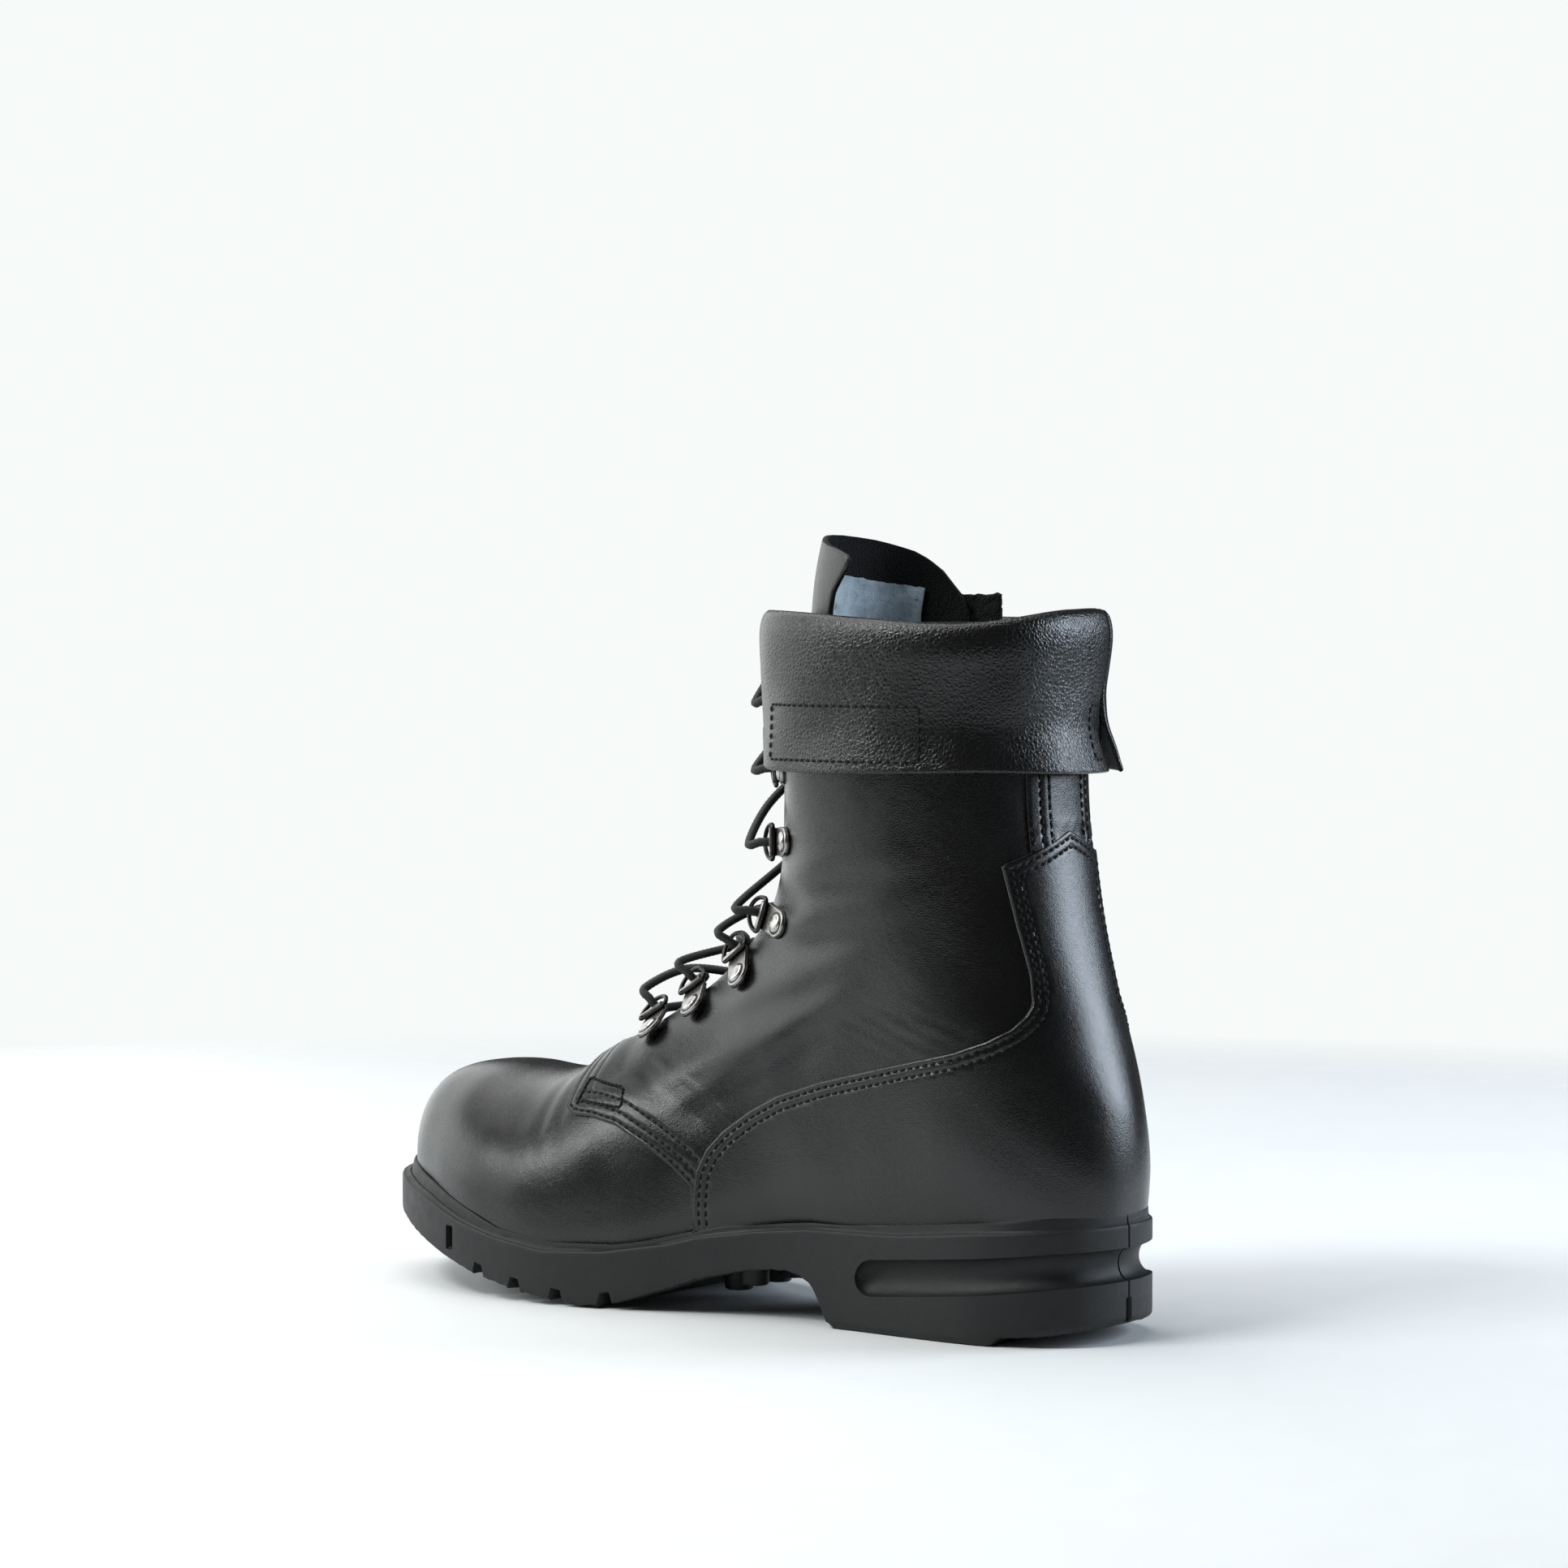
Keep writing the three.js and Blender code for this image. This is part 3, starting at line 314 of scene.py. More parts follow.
# ---------------------------------------------------------------- node materials
class Nodes:
    """A short way to write a node tree."""

    def __init__(self, name):
        self.material = bpy.data.materials.new(name)
        self.material.use_nodes = True
        self.tree = self.material.node_tree
        self.shader = self.tree.nodes["Principled BSDF"]
        self.place = self.add("ShaderNodeTexCoord").outputs["Object"]

    def add(self, kind, **inputs):
        node = self.tree.nodes.new(kind)
        for key, value in inputs.items():
            if key in node.bl_rna.properties and key not in node.inputs:
                setattr(node, key, value)
            else:
                self.link(value, node.inputs[key])
        return node

    def link(self, value, socket):
        if isinstance(value, bpy.types.NodeSocket):
            self.tree.links.new(value, socket)
        else:
            socket.default_value = value

    def noise(self, scale, detail=3.0, roughness=0.55, where=None):
        node = self.add("ShaderNodeTexNoise", Scale=scale, Detail=detail, Roughness=roughness)
        self.link(where or self.place, node.inputs["Vector"])
        return node.outputs["Fac"]

    def cells(self, scale, feature="F1", where=None):
        node = self.add("ShaderNodeTexVoronoi", Scale=scale)
        node.feature = feature
        self.link(where or self.place, node.inputs["Vector"])
        return node.outputs["Distance"]

    def wave(self, way, scale, distortion, detail):
        node = self.add("ShaderNodeTexWave", Scale=scale, Distortion=distortion, Detail=detail)
        node.bands_direction = way
        self.link(self.place, node.inputs["Vector"])
        return node.outputs["Fac"]

    def remap(self, value, low, high, to_low=0.0, to_high=1.0):
        node = self.add("ShaderNodeMapRange")
        for socket, number in zip(node.inputs[1:5], (low, high, to_low, to_high)):
            socket.default_value = number
        self.link(value, node.inputs[0])
        return node.outputs[0]

    def math(self, operation, a, b=0.0):
        node = self.tree.nodes.new("ShaderNodeMath")
        node.operation = operation
        self.link(a, node.inputs[0])
        self.link(b, node.inputs[1])
        return node.outputs[0]

    def mix(self, share, a, b):
        node = self.tree.nodes.new("ShaderNodeMix")
        node.data_type = "RGBA"
        self.link(share, node.inputs[0])
        self.link(a, node.inputs[6])
        self.link(b, node.inputs[7])
        return node.outputs[2]

    def bump(self, height, distance, strength=1.0, normal=None):
        node = self.add("ShaderNodeBump", Strength=strength, Distance=distance, Height=height)
        if normal is not None:
            self.link(normal, node.inputs["Normal"])
        return node.outputs["Normal"]

    def finish(self, **inputs):
        for key, value in inputs.items():
            self.link(value, self.shader.inputs[key.replace("_", " ")])
        return self.material


def grey(level, tint=(1, 1, 1)):
    return (level * tint[0], level * tint[1], level * tint[2], 1)


def leather_material(name, base, rough, grain, depth, crease=0.5):
    """Smooth dyed leather: a fine cell grain with painted shade darkening its creases, a soft unevenness of
    gloss and rubbed high spots.
    """
    n = Nodes(name)
    warped = n.add("ShaderNodeVectorMath", operation="ADD")
    wobble = n.add("ShaderNodeTexNoise", Scale=grain * 0.35, Detail=2.0)
    n.link(n.place, wobble.inputs["Vector"])
    scaled = n.add("ShaderNodeVectorMath", operation="SCALE")
    n.link(wobble.outputs["Color"], scaled.inputs[0])
    scaled.inputs["Scale"].default_value = 0.6 / grain
    n.link(n.place, warped.inputs[0])
    n.link(scaled.outputs[0], warped.inputs[1])
    cell = n.cells(grain, "DISTANCE_TO_EDGE", warped.outputs[0])
    ridge = n.remap(cell, 0.0, 0.28)
    fine = n.noise(grain * 2.6, 4.0, 0.6)
    wide = n.noise(38, 4.0, 0.6)
    patch = n.noise(14, 3.0, 0.55)
    height = n.math("ADD", n.math("MULTIPLY", ridge, 0.7), n.math("MULTIPLY", fine, 0.6))
    rough_here = n.math("ADD", n.remap(wide, 0.3, 0.7, rough - 0.04, rough + 0.05),
                        n.remap(ridge, 0.0, 1.0, 0.06, 0.0))
    colour = n.mix(n.remap(patch, 0.35, 0.65), grey(base, (1.0, 1.0, 1.03)),
                   grey(base * 1.7, (1.03, 1.0, 0.98)))
    # painted shade: the colour darkens towards the cell edges, the grain's creases where the bump sinks
    colour = n.mix(n.remap(ridge, 0.0, 1.0, 0.35, 0.0), colour, grey(base * 0.5))
    wrinkle = n.noise(420, 4.0, 0.65)
    normal = n.bump(wrinkle, 0.00016, crease)
    normal = n.bump(height, depth, 1.0, normal)
    return n.finish(Base_Color=colour, Roughness=rough_here, Normal=normal, Specular_IOR_Level=0.5)


def suede_material(name, base, tint=(1, 1, 1), rough=0.95):
    n = Nodes(name)
    nap = n.noise(2600, 4.0, 0.7)
    patch = n.noise(160, 3.0, 0.6)
    colour = n.mix(n.remap(nap, 0.3, 0.7), grey(base * 0.55, tint), grey(base * 1.6, tint))
    colour = n.mix(n.remap(patch, 0.35, 0.7, 0.0, 0.5), colour, grey(base * 0.8, tint))
    normal = n.bump(nap, 0.0006, 0.9)
    return n.finish(Base_Color=colour, Roughness=rough, Normal=normal, Sheen_Weight=0.25,
                    Sheen_Roughness=0.5)


def felt_material():
    """A pale non-woven pad: matted fibres, rubbed darker in patches."""
    n = Nodes("felt")
    fibre = n.noise(1500, 6.0, 0.75)
    worn = n.noise(70, 4.0, 0.7)
    spots = n.noise(420, 3.0, 0.6)
    light = (0.78, 0.90, 0.98, 1)
    dark = (0.36, 0.46, 0.52, 1)
    colour = n.mix(n.remap(worn, 0.38, 0.62), dark, light)
    colour = n.mix(n.remap(fibre, 0.35, 0.65, 0.3, 0.0), colour, (0.5, 0.6, 0.66, 1))
    colour = n.mix(n.remap(spots, 0.62, 0.72, 0.0, 0.7), colour, (0.03, 0.05, 0.07, 1))
    return n.finish(Base_Color=colour, Roughness=0.95, Normal=n.bump(fibre, 0.0008, 0.8),
                    Sheen_Weight=0.3)


def pile_material():
    n = Nodes("pile")
    loops = n.cells(1700)
    nap = n.noise(900, 5.0, 0.7)
    height = n.math("ADD", n.remap(loops, 0.0, 0.6, 1.0, 0.0), nap)
    colour = n.mix(n.remap(nap, 0.35, 0.7), grey(0.002), grey(0.014, (0.9, 1.0, 1.0)))
    return n.finish(Base_Color=colour, Roughness=0.95, Normal=n.bump(height, 0.0015, 1.0),
                    Sheen_Weight=0.08, Sheen_Roughness=0.4, Specular_IOR_Level=0.2)


def textile_material(name, base, scale=900.0):
    """A woven lining: two crossing sets of yarns with fluff, and painted shade between the yarns."""
    n = Nodes(name)
    warp, weft = (n.wave(way, scale * 0.3, 1.2, 2.0) for way in ("DIAGONAL", "Z"))
    weave = n.math("MULTIPLY", warp, weft)
    fluff = n.noise(scale * 2, 4.0, 0.6)
    height = n.math("ADD", weave, n.math("MULTIPLY", fluff, 0.5))
    # painted shade: the colour follows the weave's height, darker where it sinks between the yarns
    colour = n.mix(n.remap(height, 0.2, 1.1), grey(base * 0.5), grey(base * 1.5))
    return n.finish(Base_Color=colour, Roughness=0.9, Normal=n.bump(height, 0.0004, 0.8),
                    Sheen_Weight=0.2)


def rubber_material():
    """Moulded nitrile rubber: dull, with a fine blasted texture and dusty high spots."""
    n = Nodes("rubber")
    fine = n.noise(3200, 3.0, 0.6)
    middle = n.noise(260, 4.0, 0.6)
    wide = n.noise(22, 4.0, 0.6)
    rough = n.math("ADD", n.remap(wide, 0.3, 0.7, 0.42, 0.56), n.remap(middle, 0.3, 0.7, -0.05, 0.05))
    colour = n.mix(n.remap(wide, 0.35, 0.65), grey(0.007, (0.97, 1.0, 1.05)),
                   grey(0.012, (0.98, 1.0, 1.03)))
    dust = n.remap(n.noise(650, 5.0, 0.8), 0.66, 0.74, 0.0, 0.3)
    colour = n.mix(dust, colour, grey(0.06))
    normal = n.bump(n.math("ADD", fine, n.math("MULTIPLY", middle, 0.8)), 0.00018, 0.7)
    return n.finish(Base_Color=colour, Roughness=rough, Normal=normal, Specular_IOR_Level=0.34)


def metal_material(name, base, rough, tint):
    """Plated steel: satin, lightly scratched, darker where it is handled less."""
    n = Nodes(name)
    scratch = n.noise(1800, 5.0, 0.75)
    wide = n.noise(300, 3.0, 0.6)
    colour = n.mix(n.remap(wide, 0.35, 0.65), grey(base * 0.75, tint), grey(base * 1.1, tint))
    roughness = n.remap(scratch, 0.3, 0.7, rough - 0.08, rough + 0.1)
    return n.finish(Base_Color=colour, Roughness=roughness, Metallic=1.0,
                    Normal=n.bump(scratch, 0.00005, 0.5))


def thread_material():
    n = Nodes("thread")
    twist = n.wave("DIAGONAL", 700.0, 1.0, 1.0)
    return n.finish(Base_Color=n.mix(twist, grey(0.002), grey(0.008)), Roughness=0.6,
                    Normal=n.bump(twist, 0.0002, 0.7), Specular_IOR_Level=0.2)


def lace_material():
    n = Nodes("lace")
    fibre = n.noise(2400, 3.0, 0.7)
    wide = n.noise(300, 2.0, 0.5)
    colour = n.mix(n.remap(wide, 0.3, 0.7), grey(0.005), grey(0.013))
    return n.finish(Base_Color=colour, Roughness=0.6, Normal=n.bump(fibre, 0.0003, 0.7), Sheen_Weight=0.1)


def floor_material():
    n = Nodes("floor")
    wide = n.noise(3.0, 3.0, 0.5)
    colour = n.mix(n.remap(wide, 0.3, 0.7), (0.80, 0.82, 0.82, 1), (0.83, 0.845, 0.845, 1))
    rough = n.remap(n.noise(60, 3.0, 0.6), 0.3, 0.7, 0.42, 0.50)
    reach = n.add("ShaderNodeVectorMath", operation="LENGTH")
    n.link(n.place, reach.inputs[0])
    alpha = n.remap(reach.outputs["Value"], FLOOR_RADIUS * 0.80, FLOOR_RADIUS * 0.99, 1.0, 0.0)
    return n.finish(Base_Color=colour, Roughness=rough, Specular_IOR_Level=0.15, Alpha=alpha)


# ---------------------------------------------------------------- meshes
def make_piece(name, vertices, faces, materials, kinds=None, body="boot", sharp=38.0, replaces=()):
    """A mesh object from points in millimetres, riding on its body."""
    mesh = bpy.data.meshes.new(name)
    mesh.from_pydata((np.asarray(vertices) * MM).tolist(), [], [list(map(int, f)) for f in faces])
    for material in materials:
        mesh.materials.append(material)
    if kinds is not None:
        mesh.polygons.foreach_set("material_index", np.asarray(kinds, np.int32))
    mesh.polygons.foreach_set("use_smooth", np.ones(len(mesh.polygons), bool))
    mesh.validate()
    mesh.update()
    mesh.set_sharp_from_angle(angle=math.radians(sharp))
    piece = add_object(name, mesh)
    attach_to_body(piece, body)
    if replaces:
        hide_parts(*replaces)
    return piece


class Skin:
    """A triangle mesh whose points carry named numbers, which can be cut along any of them."""

    def __init__(self, data, names, triangles):
        self.data, self.names, self.triangles = data, list(names), triangles
        self.snap = 0.05  # a point nearer to a cut than this counts as on it

    def copy(self):
        return Skin(self.data.copy(), self.names, self.triangles.copy())

    def __getitem__(self, name):
        return self.data[:, self.names.index(name)]

    def __setitem__(self, name, values):
        if name in self.names:
            self.data[:, self.names.index(name)] = values
        else:
            self.data = np.column_stack([self.data, values])
            self.names.append(name)

    @property
    def points(self):
        return self.data[:, 0:3]

    @property
    def normals(self):
        return unit(self.data[:, 3:6])

    def split(self, name, value=0.0):
        """Adds points and edges along the line where the named number has this value."""
        s = self[name] - value
        sign = np.where(np.abs(s) < self.snap, 0, np.sign(s)).astype(int)
        tri = self.triangles
        edges = np.stack([tri, np.roll(tri, -1, axis=1)], -1)
        cut = sign[edges[..., 0]] * sign[edges[..., 1]] < 0
        if not cut.any():
            return self
        low = np.minimum(edges[..., 0], edges[..., 1])[cut]
        high = np.maximum(edges[..., 0], edges[..., 1])[cut]
        keys, inverse = np.unique(low.astype(np.int64) * len(s) + high, return_inverse=True)
        a, b = keys // len(s), keys % len(s)
        share = (s[a] / (s[a] - s[b]))[:, None]
        fresh = np.full(cut.shape, -1, np.int64)
        fresh[cut] = len(s) + inverse.reshape(-1)
        self.data = np.vstack([self.data, self.data[a] + (self.data[b] - self.data[a]) * share])
        count = cut.sum(1)
        out = [tri[count == 0]]
        for k in range(3):
            t = np.roll(tri, -k, axis=1)
            m = np.roll(fresh, -k, axis=1)
            one = (count == 1) & (m[:, 0] >= 0)
            out += [np.stack([t[one, 0], m[one, 0], t[one, 2]], -1),
                    np.stack([m[one, 0], t[one, 1], t[one, 2]], -1)]
            two = (count == 2) & (m[:, 0] >= 0) & (m[:, 2] >= 0)
            out += [np.stack([t[two, 0], m[two, 0], m[two, 2]], -1),
                    np.stack([m[two, 0], t[two, 1], t[two, 2]], -1),
                    np.stack([m[two, 0], t[two, 2], m[two, 2]], -1)]
        self.triangles = np.vstack(out)
        return self

    def keep(self, name, value=0.0):
        """Cuts the mesh there and keeps the side where the number is larger."""
        self.split(name, value)
        inside = self[name][self.triangles].mean(1) >= value
        return self.only(inside)

    def trim(self, name, values):
        """Names a number and keeps the side where it is positive."""
        self[name] = values
        return self.keep(name)

    def only(self, chosen):
        self.triangles = self.triangles[chosen]
        used, inverse = np.unique(self.triangles, return_inverse=True)
        self.data = self.data[used]
        self.triangles = inverse.reshape(-1, 3)
        return self

    def boundary(self):
        tri = self.triangles
        edges = np.concatenate([tri[:, [0, 1]], tri[:, [1, 2]], tri[:, [2, 0]]])
        n = len(self.data)
        key = np.minimum(edges[:, 0], edges[:, 1]) * n + np.maximum(edges[:, 0], edges[:, 1])
        _, first, count = np.unique(key, return_index=True, return_counts=True)
        return edges[first[count == 1]]


def thicken(skin, outer, inner):
    """A closed solid between two distances along the skin's normals. Kinds: 0 outside, 1 inside, 2 edge."""
    points, normals, tri = skin.points, skin.normals, skin.triangles
    n = len(points)
    vertices = np.vstack([points + normals * np.broadcast_to(outer, n)[:, None],
                          points + normals * np.broadcast_to(inner, n)[:, None]])
    rim = skin.boundary()
    a, b = rim[:, 0], rim[:, 1]
    walls = np.vstack([np.stack([b, a, a + n], -1), np.stack([b, a + n, b + n], -1)])
    faces = np.vstack([tri, tri[:, ::-1] + n, walls])
    kinds = np.repeat([0, 1, 2], [len(tri), len(tri), len(walls)])
    return vertices, faces, kinds


def rounded(distance, radius):
    """Height of a rounded edge below its full height, at a distance in from the edge."""
    t = np.clip(1 - distance / radius, 0, 1)
    return radius * (1 - np.sqrt(np.maximum(1 - t * t, 0)))


def round_edge(skin, name, radius):
    """Adds the lines along which a rounded edge bends."""
    for share in (0.12, 0.4, 1.0):
        skin.split(name, radius * share)
    return skin


def bend_at_grooves(skin, name, rows):
    """Adds the lines along which the grooves of stitch rows bend."""
    for row in rows:
        for shift in (-GROOVE_HALF, 0, GROOVE_HALF):
            skin.split(name, row + shift)


def grooves(distance, rows):
    return sum(GROOVE_DEPTH * np.clip(1 - np.abs(distance - row) / GROOVE_HALF, 0, 1) for row in rows)


def spline(table, t):
    """Catmull-Rom curve through the table's rows, at fractional row numbers t."""
    table = np.asarray(table, float)
    t = np.clip(np.asarray(t, float), 0, len(table) - 1)
    k = np.minimum(t.astype(int), len(table) - 2)
    u = (t - k)[..., None]
    padded = np.vstack([2 * table[0] - table[1], table, 2 * table[-1] - table[-2]])
    a, b, c, d = (padded[k + i] for i in range(4))
    return 0.5 * (2 * b + (c - a) * u + (2 * a - 5 * b + 4 * c - d) * u**2 + (3 * b - a - 3 * c + d) * u**3)


def walked(points):
    """The length walked along a polyline at each of its points."""
    return np.concatenate([[0], np.cumsum(np.linalg.norm(np.diff(points, axis=0), axis=1))])


def resample(line, step, least=1):
    """Even steps along a polyline of rows, whose first three numbers are a point."""
    length = walked(line[:, :3])
    at = np.linspace(0, length[-1], max(int(round(length[-1] / step)), least) + 1)
    return np.stack([np.interp(at, length, column) for column in line.T], -1)


def even_curve(points, step, closed=False):
    """A smooth curve through points, resampled at even steps along its length."""
    points = np.asarray(points, float)
    if closed:
        wrapped = np.vstack([points[-2:], points, points[:3]])
        dense = spline(wrapped, np.linspace(2, len(points) + 2, len(points) * 24 + 1))
    else:
        dense = spline(points, np.linspace(0, len(points) - 1, (len(points) - 1) * 24 + 1))
    even = resample(dense, step, 2)
    return even[:-1] if closed else even


# ---------------------------------------------------------------- the last's surface
def ring_points(rings, phi):
    (top_f, top_z, bottom_f, bottom_z, lat, med, centre, widest,
     top_power, bottom_power) = np.moveaxis(rings, -1, 0)
    cos, sin = np.cos(phi), np.sin(phi)
    power = np.where(cos >= 0, top_power, bottom_power)
    c = np.sign(cos) * np.abs(cos) ** (2 / power)
    s = np.sign(sin) * np.abs(sin) ** (2 / power)
    down = np.where(cos >= 0, widest * (1 - c), widest - (1 - widest) * c)
    half = np.where(sin >= 0, lat, med)
    return place(top_f + (bottom_f - top_f) * down, centre + half * s, top_z + (bottom_z - top_z) * down)


def last_point(position, phi):
    """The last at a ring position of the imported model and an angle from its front."""
    return ring_points(spline(LAST, np.asarray(position, float) + NOSE_RINGS), phi)


def last_frame(position, phi):
    step = 0.02
    point = last_point(position, phi)
    upward = last_point(position + step, phi) - last_point(position - step, phi)
    around = last_point(position, phi + step) - last_point(position, phi - step)
    return point, unit(np.cross(unit(around), unit(upward)))


def even_angles(ring, turns):
    """Angles at even steps of length along part of a ring."""
    half = COLUMNS // 2
    length = walked(ring_points(ring, turns))
    if length[-1] == 0:
        return turns[:: len(turns) // half][:half]
    return np.interp(np.linspace(0, length[-1], half + 1)[:-1], length, turns)


def build_last():
    """The last as an even grid, each point with its normal, ring position and angle."""
    dense = np.linspace(0, len(LAST) - 1, 4000)
    rings = spline(LAST, dense)
    advance = np.maximum(np.linalg.norm(np.diff(rings[:, 0:2], axis=0), axis=1),
                         np.linalg.norm(np.diff(rings[:, 2:4], axis=0), axis=1))
    advance = np.maximum(advance, np.abs(np.diff(rings[:, 4])))
    length = np.concatenate([[0], np.cumsum(advance)])
    position = np.interp(np.linspace(0, length[-1], int(length[-1] / ROW_STEP)), length, dense)
    turns = np.linspace(0, math.pi, 1500)
    points, angles = [], []
    for ring in spline(LAST, position):
        phi = np.concatenate([even_angles(ring, turns), even_angles(ring, math.pi + turns)])
        points.append(ring_points(ring, phi))
        angles.append(phi)
    points, angles = np.array(points), np.array(angles)
    around = np.roll(points, -1, axis=1) - np.roll(points, 1, axis=1)
    normals = unit(np.cross(around, np.gradient(points, axis=0)))
    normals[0] = (0, -1, 0)
    rows, columns = points.shape[:2]
    positions = np.repeat(position - NOSE_RINGS, columns)
    data = np.column_stack([points.reshape(-1, 3), normals.reshape(-1, 3), positions, angles.reshape(-1)])
    quads = grid_quads(rows, columns)
    triangles = np.vstack([quads[:, [0, 1, 2]], quads[:, [0, 2, 3]]])
    triangles = np.where(triangles < columns, 0, triangles)  # the nose is one point
    whole = (triangles != np.roll(triangles, 1, axis=1)).all(1)
    skin = Skin(data, ["x", "y", "z", "nx", "ny", "nz", "position", "phi"], triangles[whole])
    return skin.only(np.ones(len(skin.triangles), bool))


last = build_last()
last_tree = BVHTree.FromPolygons(last.points.tolist(), last.triangles.tolist())


def hit(origin, way):
    """Where a ray first meets the last, as a [point, normal] row."""
    point, normal, _, _ = last_tree.ray_cast(Vector(origin), Vector(way))
    return None if point is None else np.array([*point, *normal])


def on_last(point):
    location, normal, _, _ = last_tree.find_nearest(Vector(point))
    return np.array([*location, *normal])


def trace(origins, way):
    """Where parallel rays meet the last, as [point, normal] rows."""
    found = [hit(origin, way) for origin in origins]
    return np.array([row for row in found if row is not None])


def trace_back(across, heights):
    """Where distances to the lateral side and heights lie on the back of the last."""
    return trace([(s + CENTRE_X, CLEAR_OF_BOOT, z) for s, z in np.broadcast(across, heights)], (0, -1, 0))


def lift(outline, side):
    """Where a side-view line of [f, z] points lies on one side of the last."""
    line = resample(np.column_stack([np.asarray(outline, float), np.zeros(len(outline))]), 0.7)
    return trace([(side * CLEAR_OF_BOOT, SOLE_LENGTH / 2 - f, z) for f, z, _ in line], (-side, 0, 0))


def both_sides(outline):
    """The line on the lateral side, over the middle and back down the medial side."""
    return np.vstack([lift(outline, 1), lift(outline, -1)[::-1]])


def distance_to(points, line):
    """Distance from each point to a polyline, exact when it is under about 15 mm."""
    far = np.full(len(points), 1e9)
    for start in range(0, len(line), 12):
        knot = line[start, :3]
        far = np.minimum(far, np.linalg.norm(points - knot, axis=1))
    near = np.flatnonzero(far < 26)
    result = np.maximum(far - 9, 15.0)
    a, b = line[:-1, :3], line[1:, :3]
    ab = b - a
    size = np.maximum((ab * ab).sum(1), 1e-12)
    for chunk in np.array_split(near, max(len(near) // 1500, 1)):
        offset = points[chunk][:, None, :] - a[None]
        t = np.clip((offset * ab[None]).sum(-1) / size, 0, 1)
        gap = offset - t[..., None] * ab[None]
        result[chunk] = np.sqrt((gap * gap).sum(-1).min(1))
    return result


def inside(polygon, f, z):
    """Whether side-view points lie in a polygon of [f, z] points."""
    polygon = np.asarray(polygon, float)
    result = np.zeros(len(f), bool)
    for (f0, z0), (f1, z1) in zip(polygon, np.roll(polygon, -1, axis=0)):
        if z0 == z1:
            continue
        crosses = (z0 > z) != (z1 > z)
        result ^= crosses & (f < (f1 - f0) * (z - z0) / (z1 - z0) + f0)
    return result


def signed(skin, line, within):
    """Distances to a line, negative outside the region it bounds."""
    distance = distance_to(skin.points, line)
    return np.where(within, distance, -distance)


def ripples(points, seed, count, wavelength):
    """A sum of soft waves in fixed random directions, about -1 to 1."""
    rng = np.random.default_rng(seed)
    total = np.zeros(len(points))
    for _ in range(count):
        heading = unit(rng.normal(size=3))
        total += np.sin(points @ heading * (2 * math.pi / (wavelength * rng.uniform(0.7, 1.5)))
                        + rng.uniform(0, 2 * math.pi))
    return total / math.sqrt(count)


# ---------------------------------------------------------------- stitches
BAR_TACK = [[198.4, 66.5], [197.6, 75], [180, 73.4], [178.6, 67], [197, 68]]
STITCH_PITCH = 3.0
STITCH_LENGTH = 2.5
THREAD_RADIUS = 0.42


def stitch_template():
    """One stitch along x: a thread that rises out of one needle hole and dips into the next."""
    sides = 6
    cos, sin = circle(sides)
    rows = []
    for x in np.linspace(-0.5, 0.5, 7):
        height = 0.1 - 0.75 * (2 * abs(x)) ** 4
        radius = THREAD_RADIUS * (1 - 0.45 * (2 * abs(x)) ** 3)
        along = np.full(sides, x * STITCH_LENGTH)
        rows.append(np.stack([along, radius * cos * 1.15, height + radius * sin], -1))
    return np.vstack(rows), [face[::-1] for face in tube_faces(len(rows), sides)]


STITCH_POINTS, STITCH_FACES = stitch_template()


def add_stitches(name, lines, height, pitch=STITCH_PITCH):
    """Stitches along lines of [point, normal] rows, at a height above the line."""
    vertices, faces = [], []
    for line in lines:
        if len(line) < 3:
            continue
        row = resample(line, pitch)
        tangents = unit(np.gradient(row[:, :3], axis=0))
        for point, tangent, normal in zip(row[:-1, :3] + np.diff(row[:, :3], axis=0) / 2,
                                          tangents[:-1], row[:-1, 3:6]):
            normal = unit(normal - tangent * (normal @ tangent))
            across = np.cross(normal, tangent)
            base = len(vertices) * len(STITCH_POINTS)
            vertices.append(point + normal * height + STITCH_POINTS @ np.stack([tangent, across, normal]))
            faces += [[base + i for i in face] for face in STITCH_FACES]
    return make_piece(name, np.vstack(vertices), faces, [THREAD], sharp=60)


def inset_line(line, distance, region_side):
    """A line on the last moved sideways over the surface; region_side picks which way."""
    line = resample(line, 0.8)
    tangent = unit(np.gradient(line[:, :3], axis=0))
    sideways = unit(np.cross(unit(line[:, 3:6]), tangent)) * region_side
    moved = np.array([on_last(p) for p in line[:, :3] + sideways * distance])
    apart = distance_to(moved[:, :3], line)
    moved = moved[apart > distance * 0.93]
    kept = [moved[0]]
    for row in moved[1:]:
        if np.linalg.norm(row[:3] - kept[-1][:3]) > 0.25:
            kept.append(row)
    return np.array(kept)


def broken(line, gap=6.0):
    """A line cut wherever it jumps."""
    jumps = np.flatnonzero(np.linalg.norm(np.diff(line[:, :3], axis=0), axis=1) > gap) + 1
    return np.split(line, jumps)


def soften(line, rounds=4):
    """A line with its small kinks averaged out."""
    line = line.copy()
    for _ in range(rounds):
        line[1:-1] = (line[:-2] + 2 * line[1:-1] + line[2:]) / 4
    return line


# ---------------------------------------------------------------- upper
def sole_side(skin):
    """How far above the line where the upper disappears into the sole."""
    return skin["z"] - (table_at(LIP_LINE, forward(skin.points)) - 9.0)


VAMP_POLYGON = [[148.5, -20]] + VAMP_SEAM + [[204, 120], [340, 120], [340, -20]]
FOXING_SPACE = [[33.6, 175], [-40, 175], [-40, -20]]
FOXING_POLYGON = [[148, -20]] + FOXING_EDGE + FOXING_SPACE
FOXING_MEDIAL_POLYGON = [[148, -20]] + FOXING_MEDIAL_EDGE + FOXING_SPACE


def gable_height(s):
    return GABLE_TOP - GABLE_SLOPE * np.abs(s)


